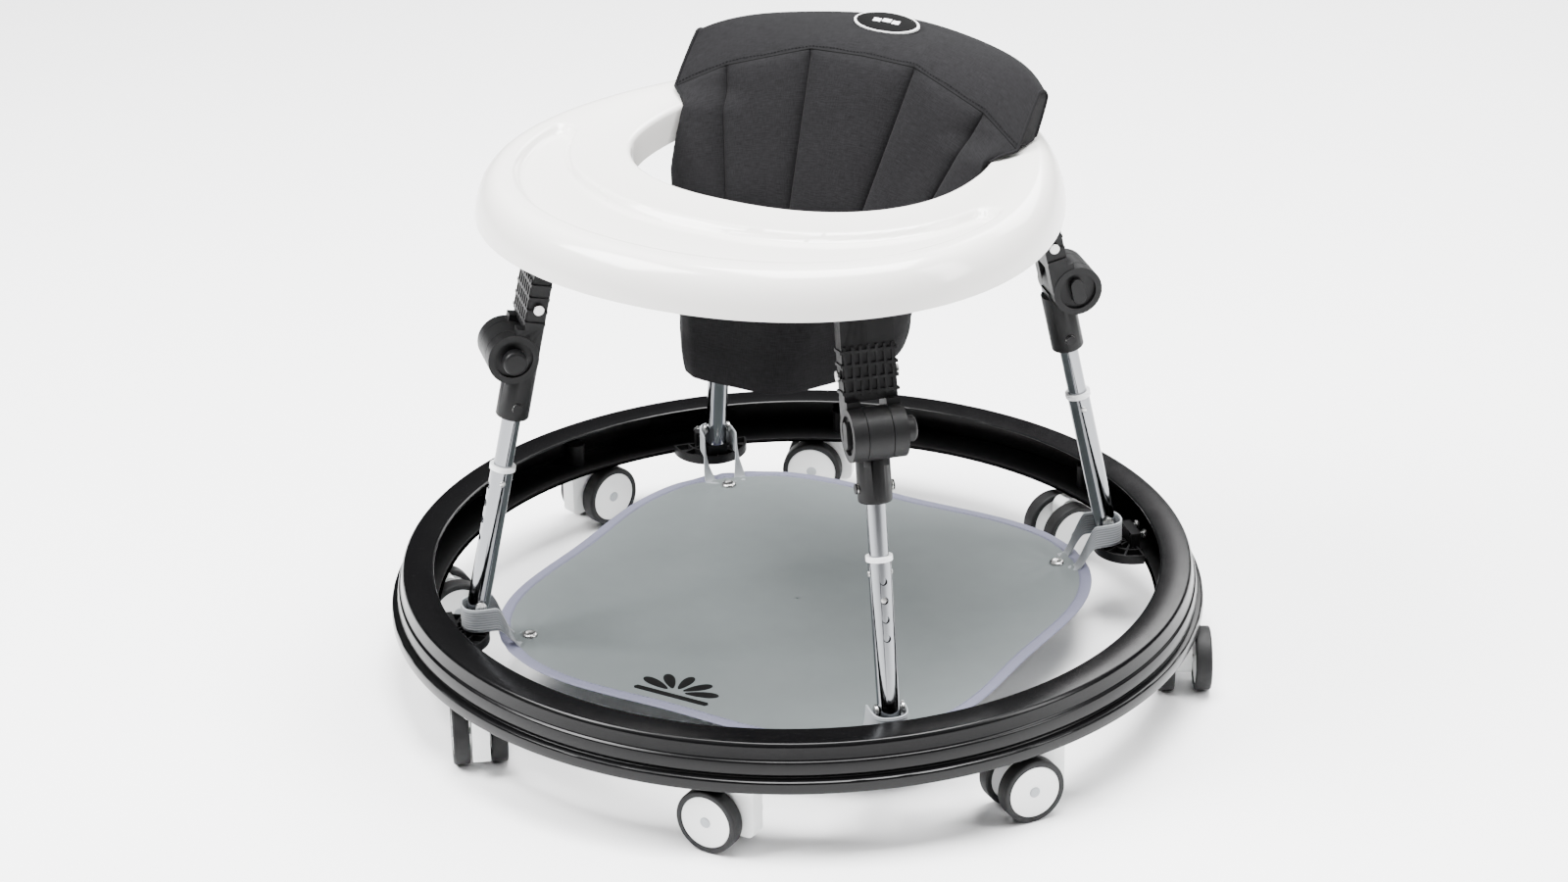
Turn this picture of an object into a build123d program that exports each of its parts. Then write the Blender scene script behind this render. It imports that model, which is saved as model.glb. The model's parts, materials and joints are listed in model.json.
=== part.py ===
from build123d import *
import math
import os

# Round baby walker, in millimetres.
# Origin: on the floor, under the centre of the base ring. +Z up, the front of the tray towards -Y.

# ---- base ring -------------------------------------------------------------
ring_radius = 350.0          # lower flange, outside
ring_clearance = 5.0         # the ring's underside above the wheels' tops
ring_height = 40.0
ring_wall = 3.0
ring_top_width = 26.0        # flat top band
flange_height = 11.0
groove_depth = 7.0           # dark groove above the flange, measured in from it
groove_height = 2.5
band_depth = 5.0             # lower band, measured in from the flange
band_top = 15.0              # the lower band's upper edge, down from the ring's top
top_depth = 12.0             # top edge, measured in from the flange
inner_draft = 4.0            # the inner wall leans in towards its foot
edge_break = 1.5             # small bevels on the ring's corners
underplate_thick = 2.5
fit_gap = 0.3                # between parts of one body that only sit in each other

# ---- casters ---------------------------------------------------------------
caster_count = 8
first_caster = 22.5          # degrees from +X
wheel_radius = 27.5
tyre_thick = 5.0
tyre_width = 14.0
tyre_round = 2.0
wheel_centres = 31.5         # between the two wheels of a pair
trail = 25.0                 # kingpin to axle
fork_width = 14.5
fork_nose = 11.0             # the housing ahead of its kingpin
fork_clear = 14.5            # its underside above the floor
fork_cap_radius = 14.0
fork_cap_height = 3.0
fork_gap = 0.8               # the fork's cap below the ring
disc_inset = 1.0             # wheel discs stand in from the tyres' inner faces
disc_dish = 0.6              # and from their outer faces
axle_radius = 3.0
kingpin_radius = 5.0
kingpin_length = 20.0
running_gap = 0.05           # radial, pins in bores
socket_wall = 3.0
socket_inset = 0.5           # sockets stand in from the ring's outer wall
# where each caster's wheels trail to at rest, degrees from +X, counted round from the first caster
trail_angles = [300.0, 240.0, 200.0, 72.0, 55.0, 127.0, 179.0, 236.0]

# ---- legs ------------------------------------------------------------------
leg_count = 4
first_leg = 45.0             # degrees from +X
pivot_inset = 28.0           # the base pivots stand in from the ring's inner foot
pivot_rise = 33.0            # and above its underside
arm_head_inset = 41.308      # the legs' lines meet the tray this far inside its mean radius
outer_tube_radius = 9.5
outer_tube_wall = 1.2
tube_gap = 0.3               # the inner tube in the outer one
inner_tube_wall = 1.2
outer_tube_length = 126.0    # pivot to collar
tube_tail = 13.0             # tube below the base pivot
collar_wall = 1.5            # outside the outer tube
collar_height = 3.0
collar_overlap = 1.5
base_pin_radius = 3.0
pin_head_radius = 5.0
pin_head_height = 2.5
hole_radius = 3.1
button_radius = 2.8
hole_pitch = 15.825          # height steps along the tube
hole_count = 4
button_hole = 1              # holes above the one in use
top_hole_drop = 17.5         # collar down to the first hole
button_depth = 4.0
tip_inset = 0.35             # the pressed-in button's tip inside the inner tube's surface
inner_tail = 23.0            # inner tube below the lowest hole

# ---- knee joint ------------------------------------------------------------
knee_along = 232.0           # along the tube, base pivot to knee axis
knee_offset = 13.0           # the knee axis stands outward of the tube
drum_radius = 21.5
barrel_width = 20.0
ear_width = 12.0
knee_gap = 0.6               # the barrel between the ears
knee_pin_radius = 5.0
knee_pin_play = 0.7          # the barrel's bore on the pin: this pivot stays loose
sleeve_wall = 6.0            # outside the inner tube
socket_bore_depth = 34.0
socket_bottom = 173.0        # along the tube
socket_bolt_radius = 2.5
socket_bolt_head = 4.3
socket_bolt_up = 12.0
bolt_head_height = 2.0
neck_drop = 6.0              # the sleeve narrows to the barrel this far below the drum
lock_head_radius = 10.5
lock_head_height = 9.0
lock_stem_radius = 3.0
lock_dish_radius = 16.0
lock_dish_depth = 3.0
lock_travel = 4.0
lock_gap = 0.2
key_width = 12.0

# ---- upper arms ------------------------------------------------------------
arm_width = 44.0
arm_thick = 16.0
arm_reach = 22.0             # the arms' tops above the tray's lower edge
arm_rib_count = 7
arm_rib_height = 1.5
arm_rib_zone = 40.0
arm_ring_count = 4           # ribs across the arm in the same zone
arm_ring_pitch = 11.0
arm_wall = 2.5
half_rib = 1.2               # half a rib's thickness
arm_bolt_up = 46.0           # above the knee axis
arm_bolt_radius = 2.5
arm_bolt_head = 4.5

# ---- tray ------------------------------------------------------------------
tray_rise = 370.0            # the tray's lower edge above the ring's underside
tray_height = 37.0
tray_wall = 3.0
tray_mean_radius = 245.0
tray_skirt = 24.0            # the deck edge stands in from the bottom edge
tray_shift = 6.0             # the outline's centre stands in front of the ring's centre
hole_side_land = 95.0        # tray outside the seat hole: at its sides
hole_front_land = 148.0      # in front
hole_back_land = 80.0        # and behind
hole_squareness = 2.3        # 2 is an ellipse
recess_depth = 7.0
recess_inner = 53.0          # land between the seat hole and the recess
recess_outer = 9.0           # rim between the recess and the deck edge
recess_end = 30.0            # the recess stops this far in front of the origin
boss_drop = 20.0             # how far the arm bosses reach below the arms' tops
boss_wall = 3.0

# ---- seat: its plan grows with the tray ----------------------------------------
seat_rise = 59.0             # the padded back's top above the tray
full_size_radius = 245.0     # the tray's mean radius at which the sizes below are true
cap_back = 200.0             # rear of the padded back's top
cap_slope = 14.0             # the padded back's top falls this much from its rear to its middle seam
cap_corner = 70.0            # and this much over the run from its middle to cap_reach
cap_reach = 260.0
cap_shoulder = (112.0, 24.0) # rear corner: half-width, and how far in from the rear
cap_tail = 40.0              # half the straight part of the rear
cap_side = 128.0             # where the cap's sides start, behind the origin
# the seam along the top of the front panel: half-width, distance behind the origin, rise above the tray
seam_mid = (50.0, 122.0, 45.0)
seam_bend = (124.0, 105.0, 23.0)
seam_end = (158.0, 92.0, 5.0)
panel_lean = 0.55            # the front panel runs this far forward for each mm down
panel_taper = 0.11           # and narrows this much on each side
panel_thick = 13.0
panel_half = 128.0           # half its width where it passes through the tray
panel_drop = 10.0            # it ends this far below the tray's bottom edge
sling_drop = 138.0           # the sling's floor below the tray's lower edge
sling_thick = 5.0
bucket_rim = (122.0, 92.0, 60.0, 74.0, 96.0)     # half-width, front, half-front, back, half-back
bucket_foot = (94.0, 104.0, 46.0, 52.0, 70.0)
bucket_drop = 12.0           # the bucket's rim below the tray's bottom edge
bucket_sides = (0.15, 0.4)   # side corners, shares of the half-width, to the front and rear
leg_hole_radius = 26.0
leg_hole_x = 50.0
leg_hole_y = -18.0
soft_gap = 1.0               # cloth stands clear of hard parts

# ---- floor mat -------------------------------------------------------------
mat_drop = 6.0               # the mat's underside below the ring's
mat_thick = 1.6
mat_inset = 34.0             # the mat's mean edge in from the base pivots
mat_lobe = 17.0
snap_inset = 43.0
snap_radius = 5.5
strap_width = 22.0
strap_thick = 1.4
strap_reach = (14.0, 6.0)    # past the base pivot, inward and outward
strap_up = 2.0               # upper edge above the pivot
snap_stand = 1.5             # snap below the mat
snap_height = 5.6

# ---- brackets --------------------------------------------------------------
plate_margin = 4.8           # the back plate past the leg tube, on each side
tongue_play = (8.6, 4.2)     # the tongue in the tube's bore: along the ring's radius, and across
tongue_up = 5.0              # its top above the pivot
stump_play = (3.0, 1.0)      # the stump below the tube is narrower than the tube
tail_gap = 1.5               # between the stump and the tube's end
head_gap = 0.4               # between the tube and the pin heads
foot_radius = 34.0
foot_thick = 3.0
foot_rib = 5.0
foot_inner = 0.62            # share of the radius where the inner rib ring stands
foot_spokes = 7
rib_thick = 1.6
foot_setback = 2.0
wall_overlap = 6.0           # the bracket is cut to the ring's inner wall
back_drop = 13.0             # the back plate's top below the pivot
screw_up = 17.0              # above the ring's underside
screw_inset = 5.0            # in from the back plate's sides
screw_reach = 6.0            # how far the screws start inside the ring
screw_end = 1.5              # shank past the wall
screw_radius = 2.0
screw_head_radius = 4.0
screw_head_height = 2.2

ring_bottom = 2 * wheel_radius + ring_clearance
ring_top = ring_bottom + ring_height
inner_top_radius = ring_radius - top_depth - ring_top_width
inner_foot_radius = inner_top_radius - inner_draft
base_pivot_radius = inner_foot_radius - pivot_inset
base_pivot_height = ring_bottom + pivot_rise
inner_tube_radius = outer_tube_radius - outer_tube_wall - tube_gap
collar_radius = outer_tube_radius + collar_wall
socket_radius = inner_tube_radius + sleeve_wall
tube_bore = 2 * (outer_tube_radius - outer_tube_wall)
bracket_half = outer_tube_radius + plate_margin
tongue_size = (tube_bore - tongue_play[0], tube_bore - tongue_play[1])
stump_size = (2 * outer_tube_radius - stump_play[0], 2 * outer_tube_radius - stump_play[1])
tray_bottom = ring_bottom + tray_rise
tray_top = tray_bottom + tray_height
arm_top = tray_bottom + arm_reach
arm_head_radius = tray_mean_radius - arm_head_inset
leg_lean = math.degrees(math.atan2(base_pivot_radius - arm_head_radius, arm_top - base_pivot_height))
hole_half_width = tray_mean_radius - hole_side_land
hole_front = tray_mean_radius - hole_front_land
hole_back = tray_mean_radius - hole_back_land
seat_top = tray_top + seat_rise
sling_bottom = tray_bottom - sling_drop
mat_height = ring_bottom - mat_drop
mat_mean_radius = base_pivot_radius - mat_inset
snap_circle = base_pivot_radius - snap_inset


def turn(shape, degrees):
    return Rot(0, 0, degrees) * shape


def cylinder_between(start, end, radius):
    start, end = Vector(*start), Vector(*end)
    run = end - start
    plane = Plane(origin=start, z_dir=run)
    return extrude(plane * Circle(radius), run.length)


def block(x0, x1, y0, y1, z0, z1):
    return Pos((x0 + x1) / 2, (y0 + y1) / 2, (z0 + z1) / 2) * Box(x1 - x0, y1 - y0, z1 - z0)


def revolve_profile(points):
    face = Plane.XZ * make_face(Polyline(*points, close=True))
    return revolve(face, Axis.Z, 360)


def solids_of(shape):
    return list(shape.solids())


parts = {}


def keep(name, *shapes):
    pieces = []
    for shape in shapes:
        pieces += solids_of(shape)
    parts[name] = pieces[0] if len(pieces) == 1 else Compound(children=pieces)


# ---- base ring shell: an inverted channel, stepped on the outside -----------
flange_top = ring_bottom + flange_height
outer_points = [
    (inner_foot_radius, ring_bottom),
    (ring_radius, ring_bottom),
    (ring_radius, flange_top - edge_break),
    (ring_radius - edge_break, flange_top),
    (ring_radius - groove_depth, flange_top),
    (ring_radius - groove_depth, flange_top + groove_height),
    (ring_radius - band_depth, flange_top + groove_height + 1),
    (ring_radius - band_depth - edge_break, ring_top - band_top),
    (ring_radius - band_depth - edge_break - 2, ring_top - band_top + 1),
    (ring_radius - top_depth + 2, ring_top - edge_break - 1),
    (ring_radius - top_depth, ring_top),
    (inner_top_radius + edge_break, ring_top),
    (inner_top_radius, ring_top - edge_break),
]
cavity_outer = ring_radius - top_depth
cavity_low_outer = ring_radius - groove_depth - ring_wall + 0.5
cavity_points = [
    (inner_foot_radius + ring_wall, ring_bottom - 1),
    (ring_radius - ring_wall, ring_bottom - 1),
    (ring_radius - ring_wall, flange_top - ring_wall),
    (cavity_low_outer, flange_top - ring_wall),
    (cavity_low_outer, ring_top - band_top - 1),
    (cavity_outer, ring_top - band_top + 1),
    (cavity_outer, ring_top - ring_wall),
    (inner_top_radius + ring_wall, ring_top - ring_wall),
]
ring_solid = revolve_profile(outer_points)
ring_shell = ring_solid - revolve_profile(cavity_points)

# ---- underplate with a socket for each kingpin -------------------------------
cavity_draft = inner_draft * (underplate_thick + 1) / (ring_height - ring_wall + 1)
underplate_inner = inner_foot_radius + ring_wall + cavity_draft + fit_gap
underplate_outer = ring_radius - ring_wall - fit_gap
underplate_points = [
    (underplate_inner, ring_bottom),
    (underplate_outer, ring_bottom),
    (underplate_outer, ring_bottom + underplate_thick),
    (underplate_inner, ring_bottom + underplate_thick),
]
underplate = revolve_profile(underplate_points)
socket_outer = kingpin_radius + socket_wall
socket_top = ring_bottom + kingpin_length + 3
caster_circle = cavity_low_outer - socket_inset - socket_outer
caster_angles = [first_caster + 360 / caster_count * k for k in range(caster_count)]
for angle in caster_angles:
    socket = Pos(caster_circle, 0, ring_bottom) * Cylinder(
        socket_outer, socket_top - ring_bottom, align=(Align.CENTER, Align.CENTER, Align.MIN))
    underplate += turn(socket, angle)
for angle in caster_angles:
    bore = Pos(caster_circle, 0, ring_bottom - 1) * Cylinder(
        kingpin_radius + running_gap, kingpin_length + 2, align=(Align.CENTER, Align.CENTER, Align.MIN))
    underplate -= turn(bore, angle)

# ---- leg brackets: a ribbed half-round foot, a back plate and a tongue inside the tube ------
wall_reach = inner_top_radius + wall_overlap
lean = math.radians(leg_lean)
leg_plane = Plane(origin=(base_pivot_radius, 0, base_pivot_height),
                  x_dir=(math.cos(lean), 0, math.sin(lean)),
                  z_dir=(-math.sin(lean), 0, math.cos(lean)))


def upright(size, low, high):
    return block(-size[0] / 2, size[0] / 2, -size[1] / 2, size[1] / 2, low, high)


def bracket():
    foot_centre = inner_foot_radius - foot_setback
    foot = Pos(foot_centre, 0, ring_bottom) * Cylinder(
        foot_radius, foot_thick, align=(Align.CENTER, Align.CENTER, Align.MIN))
    top = ring_bottom + foot_thick
    for radius in (foot_radius, foot_radius * foot_inner):
        rib = Pos(foot_centre, 0, top) * Cylinder(
            radius, foot_rib, align=(Align.CENTER, Align.CENTER, Align.MIN))
        foot += rib - Pos(foot_centre, 0, top) * Cylinder(
            radius - rib_thick, foot_rib, align=(Align.CENTER, Align.CENTER, Align.MIN))
    for spoke in range(foot_spokes):
        rib = block(0, foot_radius - rib_thick / 2, -rib_thick / 2, rib_thick / 2, top, top + foot_rib)
        foot += Pos(foot_centre, 0, 0) * turn(rib, 90 + 180 / (foot_spokes - 1) * spoke)
    root = (ring_bottom - base_pivot_height) / math.cos(lean)
    stump = leg_plane.location * upright(stump_size, root, -tube_tail - tail_gap)
    tongue = leg_plane.location * upright(tongue_size, root, tongue_up)
    back = block(inner_foot_radius - screw_reach - 1, wall_reach, -bracket_half, bracket_half,
                 ring_bottom, base_pivot_height - back_drop)
    shape = foot + stump + tongue + back
    shape -= ring_solid
    shape -= cylinder_between((base_pivot_radius, -30, base_pivot_height),
                              (base_pivot_radius, 30, base_pivot_height), base_pin_radius)
    keep_side = block(base_pivot_radius - 60, wall_reach + 5, -60, 60, ring_bottom, ring_top + 20)
    return shape & keep_side


screw_height = ring_bottom + screw_up
screw_side = bracket_half - screw_inset
wall_at_screw = inner_foot_radius + inner_draft * (screw_height - ring_bottom) / ring_height


def screw_holes(radius):
    start = inner_foot_radius - screw_reach - 3
    return [cylinder_between((start, side, screw_height), (wall_at_screw + 8, side, screw_height), radius)
            for side in (-screw_side, screw_side)]


def bracket_screw(side):
    seat = wall_at_screw + ring_wall + 2 * fit_gap
    shank = cylinder_between((inner_foot_radius - screw_reach, side, screw_height),
                             (wall_at_screw + ring_wall + screw_end, side, screw_height), screw_radius)
    head = cylinder_between((seat, side, screw_height), (seat + screw_head_height, side, screw_height),
                            screw_head_radius)
    return shank + head


leg_angles = [first_leg + 360 / leg_count * k for k in range(leg_count)]
one_bracket = bracket()
for hole in screw_holes(screw_radius + running_gap):
    one_bracket -= hole
brackets = [turn(one_bracket, angle) for angle in leg_angles]
screws = [turn(bracket_screw(side), angle) for angle in leg_angles for side in (-screw_side, screw_side)]
for angle in leg_angles:
    for hole in screw_holes(screw_radius + running_gap):
        ring_shell -= turn(hole, angle)

pin_reach = outer_tube_radius + head_gap
pin_head_end = pin_reach + pin_head_height
base_pins = []
for angle in leg_angles:
    pin = cylinder_between((base_pivot_radius, -pin_reach, base_pivot_height),
                           (base_pivot_radius, pin_reach, base_pivot_height), base_pin_radius)
    for side in (-1, 1):
        pin += cylinder_between((base_pivot_radius, side * pin_reach, base_pivot_height),
                                (base_pivot_radius, side * pin_head_end, base_pivot_height),
                                pin_head_radius)
    base_pins.append(turn(pin, angle))

keep("base_ring_shell", ring_shell)
keep("base_ring_underplate", underplate)
keep("leg_brackets", *brackets)
keep("bracket_screws", *screws)
keep("base_hinge_pins", *base_pins)

# ---- casters ------------------------------------------------------------------
axle_length = wheel_centres + tyre_width - 2 * disc_inset
fork_top = ring_bottom - fork_gap


def caster_fork():
    body = block(-fork_nose, trail + 2 * axle_radius, -fork_width / 2, fork_width / 2,
                 fork_clear, fork_top - fork_cap_height)
    body = fillet(body.edges().filter_by(Axis.Y).group_by(Axis.Z)[0], 6)
    body = fillet(body.edges().filter_by(Axis.Y).group_by(Axis.Z)[-1].sort_by(Axis.X)[-1], 9)
    cap = Pos(0, 0, fork_top - fork_cap_height) * Cylinder(
        fork_cap_radius, fork_cap_height, align=(Align.CENTER, Align.CENTER, Align.MIN))
    pin = Pos(0, 0, fork_top) * Cylinder(kingpin_radius, kingpin_length,
                                         align=(Align.CENTER, Align.CENTER, Align.MIN))
    pin = chamfer(pin.edges().group_by(Axis.Z)[-1], 1)
    shape = body + cap + pin
    return shape - cylinder_between((trail, -20, wheel_radius), (trail, 20, wheel_radius),
                                    axle_radius + running_gap)


def caster_hubs():
    half = axle_length / 2
    pieces = [cylinder_between((trail, -half, wheel_radius), (trail, half, wheel_radius), axle_radius)]
    disc_radius = wheel_radius - tyre_thick
    for side in (-1, 1):
        inside = side * (wheel_centres / 2 - tyre_width / 2 + disc_inset)
        outside = side * (wheel_centres / 2 + tyre_width / 2 - disc_dish)
        disc = cylinder_between((trail, inside, wheel_radius), (trail, outside, wheel_radius), disc_radius)
        disc -= cylinder_between((trail, -40, wheel_radius), (trail, 40, wheel_radius), axle_radius)
        pieces.append(disc)
    return pieces


def caster_tyres():
    pieces = []
    for side in (-1, 1):
        middle = side * wheel_centres / 2
        start = (trail, middle - tyre_width / 2, wheel_radius)
        end = (trail, middle + tyre_width / 2, wheel_radius)
        tyre = cylinder_between(start, end, wheel_radius)
        tyre = fillet(tyre.edges(), tyre_round)
        tyre -= cylinder_between(start, end, wheel_radius - tyre_thick)
        pieces.append(tyre)
    return pieces


fork = caster_fork()
hubs = caster_hubs()
tyres = caster_tyres()
for k, angle in enumerate(caster_angles):
    place = Pos(caster_circle * math.cos(math.radians(angle)),
                caster_circle * math.sin(math.radians(angle)), 0) * Rot(0, 0, trail_angles[k])
    keep(f"caster_{k + 1}_fork", place * fork)
    keep(f"caster_{k + 1}_hubs", *[place * piece for piece in hubs])
    keep(f"caster_{k + 1}_tyres", *[place * piece for piece in tyres])

# ---- legs: built upright along +Z from the base pivot, then leaned inward -------------
collar_base = outer_tube_length
button_at = collar_base - top_hole_drop - button_hole * hole_pitch
inner_tube_bottom = collar_base - top_hole_drop - (hole_count - 1) * hole_pitch - inner_tail


def tube(radius, wall, low, high):
    outside = Pos(0, 0, low) * Cylinder(radius, high - low, align=(Align.CENTER, Align.CENTER, Align.MIN))
    return outside - Pos(0, 0, low) * Cylinder(
        radius - wall, high - low, align=(Align.CENTER, Align.CENTER, Align.MIN))


def outer_tube():
    shape = tube(outer_tube_radius, outer_tube_wall, -tube_tail, collar_base)
    shape -= cylinder_between((0, -30, 0), (0, 30, 0), base_pin_radius + running_gap)
    for k in range(hole_count):
        height = collar_base - top_hole_drop - k * hole_pitch
        shape -= cylinder_between((inner_tube_radius / 2, 0, height), (20, 0, height), hole_radius)
    return shape


def collar():
    low = collar_base - collar_overlap
    wall = collar_radius - inner_tube_radius - running_gap * 2
    ring = tube(collar_radius, wall, low, low + collar_height + 1)
    return ring - Pos(0, 0, low) * Cylinder(
        outer_tube_radius, collar_overlap, align=(Align.CENTER, Align.CENTER, Align.MIN))


socket_top_along = socket_bottom + socket_bore_depth


def inner_tube():
    shape = tube(inner_tube_radius, inner_tube_wall, inner_tube_bottom, socket_top_along)
    shape -= cylinder_between((0, 0, button_at), (20, 0, button_at), button_radius + running_gap)
    height = socket_bottom + socket_bolt_up
    return shape - cylinder_between((0, -20, height), (0, 20, height), socket_bolt_radius)



def knee_socket():
    sleeve = Pos(0, 0, socket_bottom) * Cylinder(
        socket_radius, knee_along - socket_bottom - neck_drop, align=(Align.CENTER, Align.CENTER, Align.MIN))
    sleeve = fillet(sleeve.edges().group_by(Axis.Z)[0], 2)
    sleeve -= cylinder_between((knee_offset, -30, knee_along), (knee_offset, 30, knee_along),
                               drum_radius + knee_gap)
    barrel = cylinder_between((knee_offset, -barrel_width / 2, knee_along),
                              (knee_offset, barrel_width / 2, knee_along), drum_radius)
    neck = block(-socket_radius + 4, knee_offset, -barrel_width / 2, barrel_width / 2,
                 knee_along - drum_radius - neck_drop, knee_along)
    shape = sleeve + barrel + neck
    shape -= Pos(0, 0, socket_bottom - 1) * Cylinder(
        inner_tube_radius, socket_bore_depth + 1, align=(Align.CENTER, Align.CENTER, Align.MIN))
    shape -= cylinder_between((knee_offset, -30, knee_along), (knee_offset, 30, knee_along),
                              knee_pin_radius + knee_pin_play)
    height = socket_bottom + socket_bolt_up
    return shape - cylinder_between((0, -20, height), (0, 20, height), socket_bolt_radius)


def socket_bolt():
    height = socket_bottom + socket_bolt_up
    shape = cylinder_between((0, -socket_radius, height), (0, socket_radius, height), socket_bolt_radius)
    for side in (-1, 1):
        shape += cylinder_between((0, side * socket_radius, height),
                                  (0, side * (socket_radius + bolt_head_height), height), socket_bolt_head)
    return shape


def height_button():
    tip = inner_tube_radius - tip_inset
    shape = cylinder_between((tip - button_depth, 0, button_at), (tip, 0, button_at), button_radius)
    return chamfer(shape.edges().sort_by(Axis.X)[-1], 0.2)


for k, angle in enumerate(leg_angles):
    place = Rot(0, 0, angle) * leg_plane.location
    keep(f"leg_{k + 1}_outer_tube", place * outer_tube(), place * collar())
    keep(f"leg_{k + 1}_inner_tube", place * inner_tube())
    keep(f"leg_{k + 1}_knee_socket", place * knee_socket(), place * socket_bolt())
    keep(f"leg_{k + 1}_height_button", place * height_button())

# ---- knee ears and upper arms, part of the tray's side of the knee ---------------------
arm_length = (arm_top - base_pivot_height) / math.cos(lean)
arm_low = knee_along + drum_radius + 4
rib_low = arm_low + 2 * arm_wall
rib_face = arm_thick / 2 + arm_rib_height
rib_zone = min(arm_rib_zone, arm_length - boss_drop - arm_rib_height - rib_low)
ring_count = min(arm_ring_count, int((rib_zone - 4 * half_rib) / arm_ring_pitch) + 1)
ear_start = barrel_width / 2 + knee_gap
ear_end = ear_start + ear_width


def arm_half(side):
    plate = block(-arm_thick / 2, arm_thick / 2, 0, arm_width / 2, arm_low, arm_length)
    plate -= block(-arm_thick / 2 + arm_wall, arm_thick / 2 - arm_wall, -1, arm_width / 2 - arm_wall,
                   arm_low + 4 * arm_wall, arm_length - arm_wall)
    spacing = (arm_width - 4 * half_rib) / (arm_rib_count - 1)
    for k in range(1, arm_rib_count // 2 + 1):
        plate += block(arm_thick / 2, rib_face, spacing * k - half_rib, spacing * k + half_rib,
                       rib_low, rib_low + rib_zone)
    plate += block(arm_thick / 2, rib_face, 0, half_rib, rib_low, rib_low + rib_zone)
    for k in range(ring_count):
        z = rib_low + 2 * half_rib + arm_ring_pitch * k
        band = block(-arm_thick / 2, rib_face, 0, arm_width / 2 + arm_rib_height, z - half_rib, z + half_rib)
        plate += band - block(-arm_thick / 2, arm_thick / 2, -1, arm_width / 2, z - 2, z + 2)
    ear = cylinder_between((knee_offset, ear_start, knee_along), (knee_offset, ear_end, knee_along),
                           drum_radius)
    strap = block(-arm_thick / 2, arm_thick / 2 + 6, ear_start, arm_width / 2, knee_along - 2, arm_low + 1)
    shape = plate + ear + strap
    dish = cylinder_between((knee_offset, ear_end - lock_dish_depth, knee_along),
                            (knee_offset, ear_end + 1, knee_along), lock_dish_radius)
    shape -= dish
    shape -= cylinder_between((knee_offset, -40, knee_along), (knee_offset, 40, knee_along), knee_pin_radius)
    bolt_height = knee_along + arm_bolt_up
    shape -= cylinder_between((0, -1, bolt_height), (0, 40, bolt_height), arm_bolt_radius)
    return shape if side > 0 else mirror(shape, about=Plane.XZ)


def arm_bolt():
    height = knee_along + arm_bolt_up
    reach = arm_width / 2 + arm_rib_height
    shape = cylinder_between((0, -reach, height), (0, reach, height), arm_bolt_radius)
    for side in (-1, 1):
        shape += cylinder_between((0, side * reach, height), (0, side * (reach + bolt_head_height), height),
                                  arm_bolt_head)
    return shape


def knee_pin():
    end = ear_end - lock_dish_depth
    return (cylinder_between((knee_offset, -end, knee_along), (knee_offset, end, knee_along), knee_pin_radius)
            - cylinder_between((knee_offset, -end, knee_along), (knee_offset, end, knee_along),
                               lock_stem_radius + running_gap))


def knee_lock_button():
    dish_floor = ear_end - lock_dish_depth
    head_start = dish_floor + lock_travel + lock_gap
    head = cylinder_between((knee_offset, head_start, knee_along),
                            (knee_offset, head_start + lock_head_height, knee_along), lock_head_radius)
    head = fillet(head.edges().sort_by(Axis.Y)[-1], 3)
    stem = cylinder_between((knee_offset, -dish_floor - lock_gap, knee_along),
                            (knee_offset, head_start, knee_along), lock_stem_radius)
    key = Plane(origin=(knee_offset, -dish_floor - lock_gap, knee_along), x_dir=(0, 0, 1),
                z_dir=(0, -1, 0)) * SlotOverall(2 * lock_head_radius + 2, key_width)
    return head + stem + extrude(key, lock_dish_depth + 2)


arm_left, arm_right, arm_bolts, knee_pins = [], [], [], []
for k, angle in enumerate(leg_angles):
    place = Rot(0, 0, angle) * leg_plane.location
    arm_left.append(place * arm_half(1))
    arm_right.append(place * arm_half(-1))
    arm_bolts.append(place * arm_bolt())
    knee_pins.append(place * knee_pin())
    keep(f"leg_{k + 1}_knee_lock", place * knee_lock_button())
keep("upper_arm_left_halves", *arm_left)
keep("upper_arm_right_halves", *arm_right)
keep("upper_arm_bolts", *arm_bolts)
keep("knee_pins", *knee_pins)

# ---- tray: a drafted shell with a seat hole and a crescent recess --------------------


def tray_radius(degrees):
    a = math.radians(degrees)
    return (tray_mean_radius - 12 * math.sin(a) - 4 * math.cos(2 * a)
            - 8 * math.sin(3 * a) - math.cos(4 * a))


def tray_outline(inset, z):
    points = []
    for degrees in range(0, 360, 12):
        reach = tray_radius(degrees) - inset
        a = math.radians(degrees)
        points.append((reach * math.cos(a), reach * math.sin(a) - tray_shift, z))
    return make_face(Spline(*points, periodic=True))


def hole_outline(grow, z):
    middle = (hole_back - hole_front) / 2
    depth = (hole_back + hole_front) / 2
    points = []
    for degrees in range(0, 360, 15):
        a = math.radians(degrees)
        powers = abs(math.cos(a)) ** hole_squareness + abs(math.sin(a)) ** hole_squareness
        reach = powers ** (-1 / hole_squareness)
        points.append(((hole_half_width + grow) * reach * math.cos(a),
                       middle + (depth + grow) * reach * math.sin(a), z))
    return make_face(Spline(*points, periodic=True))


def drafted(bottom_inset, top_inset, low, high):
    middle = low + (high - low) * 0.55
    bulge = bottom_inset + (top_inset - bottom_inset) * 0.3
    return loft([tray_outline(bottom_inset, low), tray_outline(bulge, middle), tray_outline(top_inset, high)])


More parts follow.
